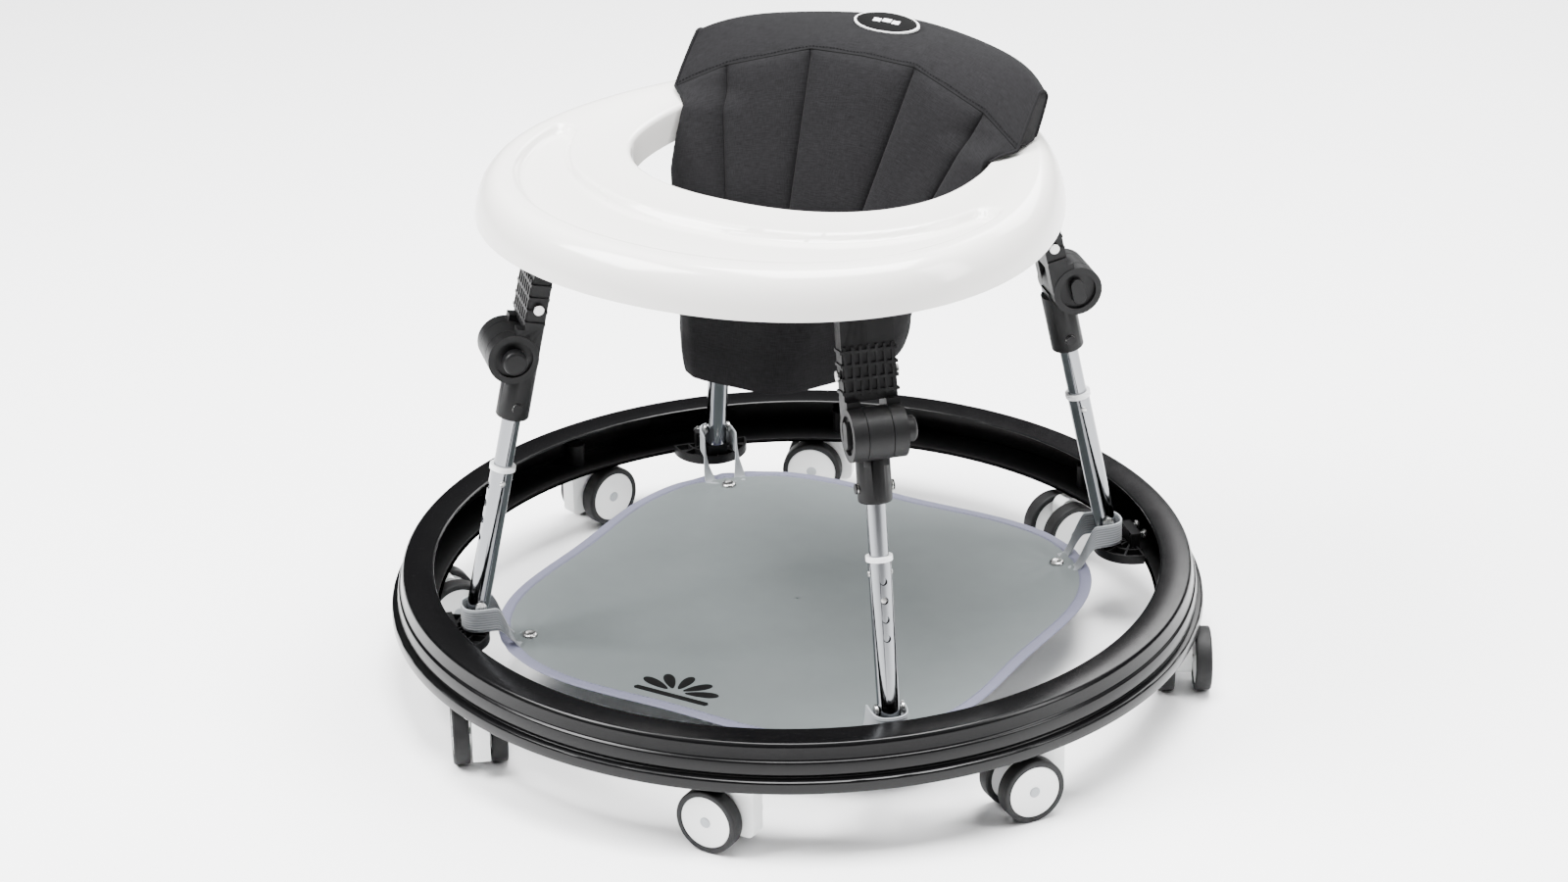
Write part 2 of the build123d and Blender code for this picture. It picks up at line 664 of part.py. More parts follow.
tray_solid = drafted(0, tray_skirt, tray_bottom, tray_top)
tray_core = drafted(tray_wall, tray_skirt + tray_wall, tray_bottom - 0.1, tray_top - tray_wall)
tray_hole = extrude(hole_outline(0, tray_bottom - 5), tray_height + 10)
hole_wall = extrude(hole_outline(tray_wall, tray_bottom), tray_height)
recess_zone = (extrude(tray_outline(tray_skirt + recess_outer, tray_top - recess_depth), recess_depth + 1)
               - extrude(hole_outline(recess_inner, tray_top - recess_depth), recess_depth + 1))
front_only = block(-400, 400, -400, -recess_end, tray_top - recess_depth - 10, tray_top + 5)
recess_top = recess_zone & front_only
recess_low = tray_top - recess_depth - tray_wall
recess_under = (extrude(tray_outline(tray_skirt + recess_outer - tray_wall, recess_low), recess_depth)
                - extrude(hole_outline(recess_inner - tray_wall, recess_low), recess_depth))
recess_under &= block(-400, 400, -400, -recess_end + tray_wall, tray_top - 30, tray_top + 5)
tray_shell = tray_solid - tray_core
tray_shell += recess_under & tray_solid
tray_shell -= recess_top
tray_shell += hole_wall & tray_solid
tray_shell -= tray_hole
for angle in leg_angles:
    place = Rot(0, 0, angle) * leg_plane.location
    boss_x, boss_y = arm_thick / 2 + boss_wall, arm_width / 2 + boss_wall
    pocket_x, pocket_y = arm_thick / 2 + fit_gap, arm_width / 2 + fit_gap
    boss = place * block(-boss_x, boss_x, -boss_y, boss_y, arm_length - boss_drop, arm_length + 40)
    pocket = place * block(-pocket_x, pocket_x, -pocket_y, pocket_y,
                           arm_length - 3 * boss_drop, arm_length + fit_gap)
    under_deck = drafted(1, tray_skirt + 1, tray_bottom, tray_top - fit_gap) - recess_top
    tray_shell += boss & under_deck
    tray_shell -= pocket
tray_shell -= tray_hole
keep("tray_shell", tray_shell)

# ---- seat, plain solids: the padded back over the tray's rear, and the bucket below ---------
seat_scale = tray_mean_radius / full_size_radius


def scaled(*sizes):
    return tuple(size * seat_scale for size in sizes)


seams = [(*scaled(x, y), tray_top + rise) for x, y, rise in (seam_end, seam_bend, seam_mid)]
seam_corner, seam_back, seam_height = seams[2]
cap_rear, cap_side_y, cap_tail_x = scaled(cap_back, cap_side, cap_tail)
shoulder_x, shoulder_in = scaled(*cap_shoulder)
panel_widest = panel_half * seat_scale


def panel_edge(z, back=0.0, widest=1000.0):
    half = []
    for x, y, seam_z in seams:
        fall = seam_z - z
        half.append((min(x - panel_taper * fall, widest), y - panel_lean * fall + back))
    return [(-x, y, z) for x, y in half] + [(x, y, z) for x, y in reversed(half)]


def cap_outline(z):
    shoulder = (shoulder_x, cap_rear - shoulder_in)
    rear = [(seams[0][0] + 6, cap_side_y), shoulder, (cap_tail_x, cap_rear)]
    rear = [(x, y, z) for x, y in rear] + [(-x, y, z) for x, y in reversed(rear)]
    return make_face(Polyline(*panel_edge(z), *rear, close=True))


cap_low = tray_top + soft_gap
cap = loft([cap_outline(cap_low), cap_outline(seat_top)], ruled=True)
slope = make_face(Polyline((0, 0, seam_height - cap_slope), (0, seam_back, seam_height),
                           (0, cap_rear, seat_top), (0, cap_rear, seat_top + 30),
                           (0, 0, seat_top + 30), close=True))
cap -= extrude(slope, 300, dir=(1, 0, 0), both=True)
for side in (-1, 1):
    corner = make_face(Polyline((side * seam_corner, 0, seat_top + 1), (side * cap_reach, 0, seat_top + 1),
                                (side * cap_reach, 0, seat_top - cap_corner), close=True))
    cap -= extrude(corner, 300, dir=(0, 1, 0), both=True)


def panel_slice(z):
    front = panel_edge(z, 0, panel_widest)[1:-1]
    rear = panel_edge(z, panel_thick, panel_widest)[1:-1]
    return make_face(Polyline(*front, *reversed(rear), close=True))


panel_low = tray_bottom - panel_drop
panel = loft([panel_slice(panel_low), panel_slice(cap_low + panel_thick)], ruled=True)
keep("seat_back", cap + panel)


def bucket_outline(level, inset, z):
    wide, front_y, front_x, back_y, back_x = scaled(*level)
    wide, front_y, front_x = wide - inset, front_y - inset, front_x - inset
    back_y, back_x = back_y - inset, back_x - inset
    near, far = -wide * bucket_sides[0], wide * bucket_sides[1]
    return make_face(Polyline((front_x, -front_y, z), (wide, near, z), (wide, far, z),
                              (back_x, back_y, z), (-back_x, back_y, z), (-wide, far, z),
                              (-wide, near, z), (-front_x, -front_y, z), close=True))


bucket_top = tray_bottom - bucket_drop
bucket = loft([bucket_outline(bucket_foot, 0, sling_bottom), bucket_outline(bucket_rim, 0, bucket_top)],
              ruled=True)
bucket -= loft([bucket_outline(bucket_foot, sling_thick, sling_bottom + sling_thick),
                bucket_outline(bucket_rim, sling_thick, bucket_top + 0.1)], ruled=True)
for side in (-1, 1):
    leg_hole = Pos(side * leg_hole_x, leg_hole_y, sling_bottom) * Cylinder(leg_hole_radius, 4 * sling_thick)
    bucket -= leg_hole
keep("seat_sling", bucket)

# ---- floor mat, snaps and straps -------------------------------------------------------


def mat_outline(grow, z):
    points = []
    for degrees in range(0, 360, 10):
        a = math.radians(degrees)
        reach = mat_mean_radius + grow - mat_lobe * math.cos(4 * a)
        points.append((reach * math.cos(a), reach * math.sin(a), z))
    return make_face(Spline(*points, periodic=True))


mat = extrude(mat_outline(0, mat_height), mat_thick)
snap_low = mat_height - snap_stand
snaps = []
straps = []
strap_low = mat_height + mat_thick + 0.4
strap_end = snap_circle + 12
for angle in leg_angles:
    snap = Pos(snap_circle, 0, snap_low) * Cylinder(
        snap_radius, snap_height, align=(Align.CENTER, Align.CENTER, Align.MIN))
    snaps.append(turn(snap, angle))
    mat -= turn(Pos(snap_circle, 0, snap_low) * Cylinder(
        snap_radius, snap_height, align=(Align.CENTER, Align.CENTER, Align.MIN)), angle)
for angle in leg_angles:
    for side in (-1, 1):
        inner = side * (pin_head_end + soft_gap)
        outer = inner + side * strap_thick
        low, high = min(inner, outer), max(inner, outer)
        near, far = base_pivot_radius - strap_reach[0], base_pivot_radius + strap_reach[1]
        high_edge = base_pivot_height + strap_up
        band = make_face(Polyline((strap_end, low, strap_low), (strap_end, low, strap_low + 6),
                                  (near, low, high_edge), (far, low, high_edge),
                                  (far, low, high_edge - strap_width), (near, low, high_edge - strap_width),
                                  (strap_end + 14, low, strap_low), close=True))
        straps.append(turn(extrude(band, strap_thick, dir=(0, 1, 0)), angle))
keep("floor_mat", mat)
keep("mat_snaps", *snaps)
keep("mat_straps", *straps)

os.makedirs("parts", exist_ok=True)
for name, shape in parts.items():
    export_step(shape, f"parts/{name}.step")
print(len(parts), "parts written")
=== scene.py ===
import bpy
import bmesh
import json
import math
import numpy as np
from mathutils import Matrix, Vector


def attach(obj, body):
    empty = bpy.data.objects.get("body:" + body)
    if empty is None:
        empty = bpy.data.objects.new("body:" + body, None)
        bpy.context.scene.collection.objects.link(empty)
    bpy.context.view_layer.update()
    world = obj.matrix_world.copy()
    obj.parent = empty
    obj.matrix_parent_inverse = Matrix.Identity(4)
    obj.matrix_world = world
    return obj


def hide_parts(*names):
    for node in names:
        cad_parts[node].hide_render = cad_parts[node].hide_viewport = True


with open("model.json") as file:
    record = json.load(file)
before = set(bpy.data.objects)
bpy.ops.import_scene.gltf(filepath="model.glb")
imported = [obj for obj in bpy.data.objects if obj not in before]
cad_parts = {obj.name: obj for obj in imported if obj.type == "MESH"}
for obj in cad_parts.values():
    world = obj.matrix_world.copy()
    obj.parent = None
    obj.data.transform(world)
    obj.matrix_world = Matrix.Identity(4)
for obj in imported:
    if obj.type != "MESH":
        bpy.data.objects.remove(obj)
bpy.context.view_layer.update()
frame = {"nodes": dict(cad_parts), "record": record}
print("frame loaded:", len(frame["nodes"]), "nodes")

mm = 0.001
legAngles = [math.radians(degrees) for degrees in (45, 135, 225, 315)]

# camera, floor and light

stage = {
    "place": (1.6287, -2.8210, 1.7340),
    "yaw": 30.167, "pitch": -25.135, "roll": -0.892,
    "lens": 96.95,
    "floorSize": 14.0,
    "floorColour": (0.95, 0.95, 0.955, 1),
    "sky": ((0.42, 0.05), (0.95, 1.0)), "skyStrength": 1.1,
}


def makeCamera():
    data = bpy.data.cameras.new("camera")
    data.lens = stage["lens"]
    data.sensor_width = 36
    data.clip_start, data.clip_end = 0.1, 60
    camera = bpy.data.objects.new("camera", data)
    bpy.context.scene.collection.objects.link(camera)
    turn = (Matrix.Rotation(math.radians(stage["yaw"]), 4, "Z")
            @ Matrix.Rotation(math.radians(90 + stage["pitch"]), 4, "X")
            @ Matrix.Rotation(math.radians(stage["roll"]), 4, "Z"))
    camera.matrix_world = Matrix.Translation(stage["place"]) @ turn
    bpy.context.scene.camera = camera


def areaLight(name, place, target, size, power):
    data = bpy.data.lights.new(name, "AREA")
    data.shape, data.size, data.size_y = "RECTANGLE", size[0], size[1]
    data.energy = power
    lamp = bpy.data.objects.new(name, data)
    bpy.context.scene.collection.objects.link(lamp)
    aim = (Vector(target) - Vector(place)).to_track_quat("-Z", "Y")
    lamp.matrix_world = Matrix.Translation(place) @ aim.to_matrix().to_4x4()


makeCamera()
areaLight("key", (-1.6, -1.4, 2.6), (0, 0, 0.25), (1.5, 1.5), 290)
areaLight("fill", (2.4, 0.4, 1.7), (0, 0, 0.3), (0.7, 1.8), 60)
areaLight("back", (0.2, 2.6, 2.0), (0, 0, 0.3), (2.2, 1.0), 75)
areaLight("overhead", (0.2, 0.2, 2.9), (0, 0, 0), (1.8, 1.8), 360)


# materials

# a new node with its settings, then the values or links of its sockets
def buildNode(tree, kind, settings, inputs):
    made = tree.nodes.new(kind)
    for key, value in (settings or {}).items():
        setattr(made, key, value)
    for key, value in (inputs or {}).items():
        value = value.socket if isinstance(value, Value) else value
        if isinstance(value, bpy.types.NodeSocket):
            tree.links.new(value, made.inputs[key])
        else:
            made.inputs[key].default_value = value
    return made


class Value:
    # one output of a node, so that shader maths can be written as Python expressions
    def __init__(self, maker, socket):
        self.maker, self.socket = maker, socket

    def maths(self, operation, other, swap=False):
        pair = (other, self) if swap else (self, other)
        return self.maker.node("ShaderNodeMath", {"operation": operation}, {0: pair[0], 1: pair[1]})

    def __add__(self, other):
        return self.maths("ADD", other)

    def __radd__(self, other):
        return self.maths("ADD", other, True)

    def __sub__(self, other):
        return self.maths("SUBTRACT", other)

    def __rsub__(self, other):
        return self.maths("SUBTRACT", other, True)

    def __mul__(self, other):
        return self.maths("MULTIPLY", other)

    def __rmul__(self, other):
        return self.maths("MULTIPLY", other, True)

    def __pow__(self, other):
        return self.maths("POWER", other)

    def wave(self):
        return self.maker.node("ShaderNodeMath", {"operation": "SINE"}, {0: self})


class Finish:
    def __init__(self, name, colour, roughness, **fixed):
        self.material = bpy.data.materials.new(name)
        self.material.use_nodes = True
        self.tree = self.material.node_tree
        self.shader = self.tree.nodes["Principled BSDF"]
        self.shader.inputs["Base Color"].default_value = (*colour, 1)
        self.shader.inputs["Roughness"].default_value = roughness
        for socket, value in fixed.items():
            self.shader.inputs[socket.replace("_", " ")].default_value = value
        self.coordinates = self.node("ShaderNodeTexCoord", output="Object")

    def node(self, kind, settings=None, inputs=None, output=0):
        return Value(self, buildNode(self.tree, kind, settings, inputs).outputs[output])

    def feed(self, socket, value):
        self.tree.links.new(value.socket, self.shader.inputs[socket])

    def noise(self, scale, detail=2.0, roughness=0.5, at=None):
        return self.node("ShaderNodeTexNoise", {}, {"Vector": at or self.coordinates, "Scale": scale,
                                                    "Detail": detail, "Roughness": roughness})

    def stretched(self, scale, at=None):
        return self.node("ShaderNodeMapping", {}, {"Vector": at or self.coordinates, "Scale": scale})

    def axis(self, letter, at=None):
        return self.node("ShaderNodeSeparateXYZ", {}, {0: at or self.coordinates}, output=letter)

    def mix(self, amount, first, second):
        return self.node("ShaderNodeMix", {"data_type": "RGBA"},
                         {"Factor": amount, 6: first if isinstance(first, Value) else (*first, 1),
                          7: second if isinstance(second, Value) else (*second, 1)}, output=2)

    def bump(self, height, distance, strength=1.0):
        self.feed("Normal", self.node("ShaderNodeBump", {}, {"Height": height, "Distance": distance,
                                                           "Strength": strength}))


def glossyPlastic(name, colour, shade, roughness, coat=0.0, waviness=0.00006, gleam=0.5):
    finish = Finish(name, colour, roughness, Coat_Weight=coat, Coat_Roughness=0.03,
                    Specular_IOR_Level=gleam)
    cloudy = finish.noise(9, 3)
    finish.feed("Base Color", finish.mix(cloudy, colour, shade))
    finish.feed("Roughness", roughness + 0.10 * finish.noise(60, 4) ** 2)
    finish.bump(finish.noise(140, 2) * 0.6 + finish.noise(30, 1), waviness, 0.5)
    return finish.material


def satinPlastic(name, colour, shade, roughness):
    finish = Finish(name, colour, roughness, Specular_IOR_Level=0.2)
    finish.feed("Base Color", finish.mix(finish.noise(26, 3), colour, shade))
    finish.feed("Roughness", roughness - 0.06 + 0.16 * finish.noise(110, 3))
    finish.bump(finish.noise(1500, 2), 0.00005, 0.55)
    return finish.material


def plating(name, colour, roughness, streaks):
    finish = Finish(name, colour, roughness, Metallic=1.0)
    along = finish.stretched((420, 420, 7))
    finish.feed("Roughness", roughness + streaks * finish.noise(1, 3, at=along))
    finish.feed("Base Color", finish.mix(finish.noise(14, 2), colour, [c * 0.9 for c in colour]))
    finish.bump(finish.noise(1, 2, at=along), 0.00001, 0.3)
    return finish.material


def tyreRubber(name):
    finish = Finish(name, (0.006, 0.006, 0.007), 0.6, Specular_IOR_Level=0.25)
    finish.feed("Base Color", finish.mix(finish.noise(70, 4), (0.005, 0.005, 0.0055), (0.011, 0.011, 0.0115)))
    finish.feed("Roughness", 0.5 + 0.22 * finish.noise(180, 3))
    finish.bump(finish.noise(900, 2), 0.0001, 0.5)
    return finish.material


# melange cloth: two yarns over and under, with slubs of light fibre along the weft
def melangeCloth(name, dark, light, pitch=0.0011):
    finish = Finish(name, dark, 0.9, Sheen_Weight=0.01, Sheen_Roughness=0.5, Specular_IOR_Level=0.12)
    turn = 2 * math.pi / pitch
    uv = finish.node("ShaderNodeUVMap", {"uv_map": "cloth"})
    u, v = finish.axis("X", uv), finish.axis("Y", uv)
    over = (u * turn).wave() * (v * turn).wave()
    slub = finish.noise(1, 3, 0.6, at=finish.stretched((110, 1300, 1), uv))
    cross = finish.noise(1, 2, 0.6, at=finish.stretched((1500, 160, 1), uv))
    fleck = (slub * 0.7 + cross * 0.45 - 0.36) * 2.4
    shade = finish.mix(fleck, dark, light)
    finish.feed("Base Color", finish.mix(finish.noise(5, 2) * 0.35, shade, [c * 0.75 for c in dark]))
    finish.feed("Roughness", 0.82 + 0.12 * slub)
    finish.bump(over * 0.35 + slub * 0.8 + cross * 0.4, 0.00022, 0.7)
    return finish.material


# oxford cloth: a fine square weave with a thin shiny coating
def oxfordCloth(name, colour, shade, pitch=0.0012):
    finish = Finish(name, colour, 0.55, Sheen_Weight=0.03, Specular_IOR_Level=0.35)
    turn = 2 * math.pi / pitch
    x, y = finish.axis("X"), finish.axis("Y")
    weave = ((x + y) * turn * 0.7071).wave() * ((x - y) * turn * 0.7071).wave()
    finish.feed("Base Color", finish.mix(weave * 0.18 + finish.noise(7, 3) * 0.75, colour, shade))
    finish.feed("Roughness", 0.5 + 0.18 * finish.noise(40, 3) + 0.05 * weave)
    finish.bump(weave + finish.noise(900, 2) * 0.8, 0.00012, 0.6)
    return finish.material


def ribbedElastic(name, colour, groove, pitch=0.0019):
    finish = Finish(name, colour, 0.8, Sheen_Weight=0.2)
    uv = finish.node("ShaderNodeUVMap", {"uv_map": "cloth"})
    rib = (finish.axis("Y", uv) * (2 * math.pi / pitch)).wave() * 0.5 + 0.5
    knit = (finish.axis("X", uv) * (2 * math.pi / 0.0009)).wave() * 0.5 + 0.5
    # the grooves between the ribs and between the knit's loops are painted darker with the groove colour:
    # painted shade in the grooves
    finish.feed("Base Color", finish.mix(rib * 0.8 + knit * 0.2, groove, colour))
    finish.bump(rib + knit * 0.25, 0.0003, 0.8)
    return finish.material


def plainThread(name, colour):
    finish = Finish(name, colour, 0.8, Specular_IOR_Level=0.1)
    twist = (finish.axis("X") * 9000 + finish.axis("Z") * 9000).wave()
    finish.feed("Base Color", finish.mix(twist * 0.3 + 0.3, colour, [c * 0.6 for c in colour]))
    return finish.material


paint = {
    "ring": glossyPlastic("ringBlack", (0.0012, 0.0012, 0.0014), (0.0024, 0.0024, 0.0026), 0.2,
                          waviness=0.00005, gleam=0.2),
    "tray": glossyPlastic("trayWhite", (0.72, 0.705, 0.68), (0.745, 0.73, 0.705), 0.16, 0.4, 0.00003),
    "knee": satinPlastic("kneeBlack", (0.0025, 0.0025, 0.0028), (0.005, 0.005, 0.0053), 0.46),
    "bracket": satinPlastic("bracketBlack", (0.0025, 0.0025, 0.0028), (0.005, 0.005, 0.0053), 0.5),
    "casterWhite": glossyPlastic("casterWhite", (0.78, 0.79, 0.785), (0.82, 0.825, 0.82), 0.28),
    "axleGrey": satinPlastic("axleCapGrey", (0.32, 0.34, 0.36), (0.4, 0.42, 0.43), 0.35),
    "collar": glossyPlastic("collarWhite", (0.78, 0.79, 0.8), (0.82, 0.83, 0.84), 0.3),
    "tyre": tyreRubber("tyreBlack"),
    "chrome": plating("tubeChrome", (0.225, 0.232, 0.243), 0.06, 0.08),
    "steel": plating("fastenerSteel", (0.52, 0.52, 0.51), 0.2, 0.16),
    "seat": melangeCloth("seatCharcoal", (0.0011, 0.0011, 0.00125), (0.0115, 0.0112, 0.0125)),
    "mat": oxfordCloth("matGrey", (0.084, 0.097, 0.098), (0.108, 0.122, 0.123)),
    "binding": oxfordCloth("matBinding", (0.100, 0.102, 0.150), (0.130, 0.132, 0.182), 0.0016),
    # the second colour is painted shade for the grooves between the ribs
    "elastic": ribbedElastic("strapElastic", (0.27, 0.285, 0.30), (0.12, 0.13, 0.14)),
    "thread": plainThread("threadBlack", (0.0008, 0.0008, 0.0009)),
    "matThread": plainThread("threadLilac", (0.16, 0.165, 0.22)),
    "labelWhite": plainThread("labelWhite", (0.75, 0.75, 0.75)),
    "labelBlack": plainThread("labelBlack", (0.0015, 0.0015, 0.0016)),
}
floorFinish = Finish("floorPale", stage["floorColour"][:3], 0.5)
floorFinish.feed("Roughness", 0.45 + 0.1 * floorFinish.noise(3))
print("materials made:", len(paint))


# mesh helpers

def addObject(name, mesh, material=None):
    piece = bpy.data.objects.new(name, mesh)
    bpy.context.scene.collection.objects.link(piece)
    if material:
        mesh.materials.clear()
        mesh.materials.append(material)
    return piece


def meshFrom(name, points, faces, material=None, smooth=True):
    mesh = bpy.data.meshes.new(name)
    mesh.from_pydata([tuple(p) for p in points], [], faces)
    mesh.validate()
    piece = addObject(name, mesh, material)
    if smooth:
        mesh.shade_smooth()
    return piece


# a grid of points, rows by columns, joined into faces; wraps round its columns or rows where asked
def gridFaces(rows, columns, wrapColumns=False, wrapRows=False):
    faces = []
    for r in range(rows if wrapRows else rows - 1):
        for c in range(columns if wrapColumns else columns - 1):
            r2, c2 = (r + 1) % rows, (c + 1) % columns
            faces.append((r * columns + c, r * columns + c2, r2 * columns + c2, r2 * columns + c))
    return faces


def outward(piece):
    work = bmesh.new()
    work.from_mesh(piece.data)
    bmesh.ops.remove_doubles(work, verts=work.verts, dist=1e-6)
    bmesh.ops.recalc_face_normals(work, faces=work.faces)
    work.to_mesh(piece.data)
    work.free()
    return piece


# the piece's modifiers, turned into its mesh
def settle(piece):
    bpy.context.view_layer.update()
    graph = bpy.context.evaluated_depsgraph_get()
    mesh = bpy.data.meshes.new_from_object(piece.evaluated_get(graph), preserve_all_data_layers=True,
                                           depsgraph=graph)
    piece.modifiers.clear()
    old = piece.data
    piece.data = mesh
    mesh.name = piece.name
    if old.users == 0:
        bpy.data.meshes.remove(old)
    return piece


def merged(name, pieces):
    work = bmesh.new()
    slots = []
    for piece in pieces:
        start = len(work.faces)
        work.from_mesh(piece.data)
        work.faces.ensure_lookup_table()
        shift = len(slots)
        for face in work.faces[start:]:
            face.material_index += shift
        slots += list(piece.data.materials)
        bpy.data.objects.remove(piece)
    unique = list(dict.fromkeys(slots))
    for face in work.faces:
        face.material_index = unique.index(slots[face.material_index])
    mesh = bpy.data.meshes.new(name)
    work.to_mesh(mesh)
    work.free()
    for material in unique:
        mesh.materials.append(material)
    return addObject(name, mesh)


# a copy of a CAD node with its triangles joined, its edges eased and its round faces smooth
def eased(node, material, width=0.0006, angle=32, segments=2):
    mesh = frame["nodes"][node].data.copy()
    work = bmesh.new()
    work.from_mesh(mesh)
    bmesh.ops.remove_doubles(work, verts=work.verts, dist=2e-6)
    bmesh.ops.dissolve_limit(work, angle_limit=math.radians(0.6), verts=work.verts, edges=work.edges,
                             delimit={"NORMAL"})
    work.to_mesh(mesh)
    work.free()
    piece = addObject(node + ".eased", mesh, material)
    mesh.shade_smooth()
    piece.data.set_sharp_from_angle(angle=math.radians(angle))
    if width:
        bevel = piece.modifiers.new("ease", "BEVEL")
        bevel.width, bevel.segments, bevel.limit_method = width, segments, "ANGLE"
        bevel.angle_limit = math.radians(angle)
        bevel.use_clamp_overlap = True
        bevel.harden_normals = True
        settle(piece)
    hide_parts(node)
    return piece


def smoothed(piece, angle=None):
    piece.data.shade_smooth()
    if angle:
        piece.data.set_sharp_from_angle(angle=math.radians(angle))


# a surface grown into a wall, on its inner side, or on both sides with offset 0
def thickened(piece, thickness, offset=-1):
    shell = piece.modifiers.new("wall", "SOLIDIFY")
    shell.thickness, shell.offset = thickness * mm, offset
    settle(piece)


# rows of points in metres; each row is given as its places in plan and then its height or heights
def stacked(rows):
    full = [np.column_stack([*row[:-1], np.broadcast_to(row[-1], len(row[0]))]) for row in rows]
    return np.array(full) * mm


def smoothstep(low, high, value):
    t = np.clip((np.asarray(value, float) - low) / (high - low), 0, 1)
    return t * t * (3 - 2 * t)


bodyOf = {node: body for body, nodes in frame["record"]["behaviour"]["bodies"].items() for node in nodes}


def place(piece, node, slot):
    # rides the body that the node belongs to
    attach(piece, bodyOf[node])
    return piece


# a grid piece with a UV map in metres along its rows and columns
def clothGrid(name, points, material, wrapColumns=False, wrapRows=False):
    points = np.asarray(points)
    rows, columns = points.shape[:2]
    faces = gridFaces(rows, columns, wrapColumns, wrapRows)
    piece = meshFrom(name, points.reshape(-1, 3), faces, material)
    nextColumn = np.roll(points, -1, axis=1) if wrapColumns else points[:, 1:]
    nextRow = np.roll(points, -1, axis=0) if wrapRows else points[1:]
    across = np.linalg.norm(nextColumn - (points if wrapColumns else points[:, :-1]), axis=2).mean(axis=0)
    down = np.linalg.norm(nextRow - (points if wrapRows else points[:-1]), axis=2).mean(axis=1)
    u, v = np.concatenate([[0], np.cumsum(across)]), np.concatenate([[0], np.cumsum(down)])
    layer = piece.data.uv_layers.new(name="cloth")
    coordinates = []
    for r in range(rows if wrapRows else rows - 1):
        for c in range(columns if wrapColumns else columns - 1):
            for row, column in ((r, c), (r, c + 1), (r + 1, c + 1), (r + 1, c)):
                coordinates += [u[column], v[row]]
    if len(coordinates) == len(layer.data) * 2:
        layer.data.foreach_set("uv", coordinates)
    return piece


def curveThrough(name, points, radius, material, closed=False):
    data = bpy.data.curves.new(name, "CURVE")
    data.dimensions, data.bevel_depth, data.bevel_resolution, data.resolution_u = "3D", radius, 3, 4
    spline = data.splines.new("NURBS")
    spline.points.add(len(points) - 1)
    for point, place in zip(spline.points, points):
        point.co = (*place, 1)
    spline.use_cyclic_u = closed
    spline.use_endpoint_u = not closed
    spline.order_u = 3
    data.use_fill_caps = True
    data.materials.append(material)
    piece = bpy.data.objects.new(name, data)
    bpy.context.scene.collection.objects.link(piece)
    graph = bpy.context.evaluated_depsgraph_get()
    bpy.context.view_layer.update()
    mesh = bpy.data.meshes.new_from_object(piece.evaluated_get(graph), depsgraph=graph)
    bpy.data.objects.remove(piece)
    made = addObject(name, mesh, material)
    mesh.shade_smooth()
    return made


# turned parts: the profile is (distance along the axle, radius) in mm, and the centre is in metres
def lathe(name, profile, material, turns, centre, axis=(0, 0, 1)):
    angles = np.linspace(0, 2 * math.pi, turns, endpoint=False)
    points = [[(radius * mm * math.cos(a), radius * mm * math.sin(a), along * mm) for a in angles]
              for along, radius in profile]
    faces = gridFaces(len(profile), turns, True)
    piece = meshFrom(name, np.array(points).reshape(-1, 3), faces, material)
    outward(piece)
    rotation = Vector((0, 0, 1)).rotation_difference(Vector(axis)).to_matrix().to_4x4()
    piece.data.transform(Matrix.Translation(centre) @ rotation)
    return piece


# a Geometry Nodes tree, put together one node at a time like the materials
class Recipe:
    def __init__(self, name, sizes):
        self.tree = bpy.data.node_groups.new(name, "GeometryNodeTree")
        face = self.tree.interface
        face.new_socket("Geometry", in_out="INPUT", socket_type="NodeSocketGeometry")
        self.keys = {}
        for label, (kind, value) in sizes.items():
            socket = face.new_socket(label, in_out="INPUT", socket_type=kind)
            if value is not None:
                socket.default_value = value
            self.keys[label] = socket.identifier
        face.new_socket("Geometry", in_out="OUTPUT", socket_type="NodeSocketGeometry")
        self.given = self.tree.nodes.new("NodeGroupInput")
        self.result = self.tree.nodes.new("NodeGroupOutput")

    def node(self, kind, settings=None, inputs=None, output=0):
        return buildNode(self.tree, kind, settings, inputs).outputs[output]

    def size(self, label):
        return self.given.outputs[label]

    def close(self, geometry, material):
        real = self.node("GeometryNodeRealizeInstances", {}, {0: geometry})
        done = self.node("GeometryNodeSetMaterial", {}, {"Geometry": real, "Material": material})
        self.tree.links.new(done, self.result.inputs[0])

    def apply(self, piece, **values):
        modifier = piece.modifiers.new(self.tree.name, "NODES")
        modifier.node_group = self.tree
        for label, value in values.items():
            modifier[self.keys[label]] = value
        return settle(piece)


# base ring: one section swept round a circle

ring = {
    "radius": 350, "low": 60, "high": 100, "wall": 3, "topWidth": 26, "topInset": 12, "draft": 4,
    "flange": 11, "groove": 7, "grooveHigh": 3, "band": 5, "bandTop": 15, "ease": 0.0011, "turns": 288,
}


def ringSection():
    r, low, high, wall = ring["radius"], ring["low"], ring["high"], ring["wall"]
    flange, top = low + ring["flange"], r - ring["topInset"]
    inner = top - ring["topWidth"]
    foot = inner - ring["draft"]
    outside = [(foot, low), (r, low), (r, flange - 1.5), (r - 1.5, flange), (r - ring["groove"], flange),
               (r - ring["groove"], flange + 2.5), (r - ring["band"], flange + 3.5),
               (r - ring["band"] - 1.5, high - ring["bandTop"]), (r - ring["band"] - 3.5, high - 14),
               (top + 2, high - 2.5), (top, high), (inner + 1.5, high), (inner, high - 1.5)]
    inside = [(inner + wall, high - wall), (top - wall, high - wall), (top - wall, flange + 1),
              (r - wall, flange - wall), (r - wall, low), (foot + wall, low)]
    return outside + inside


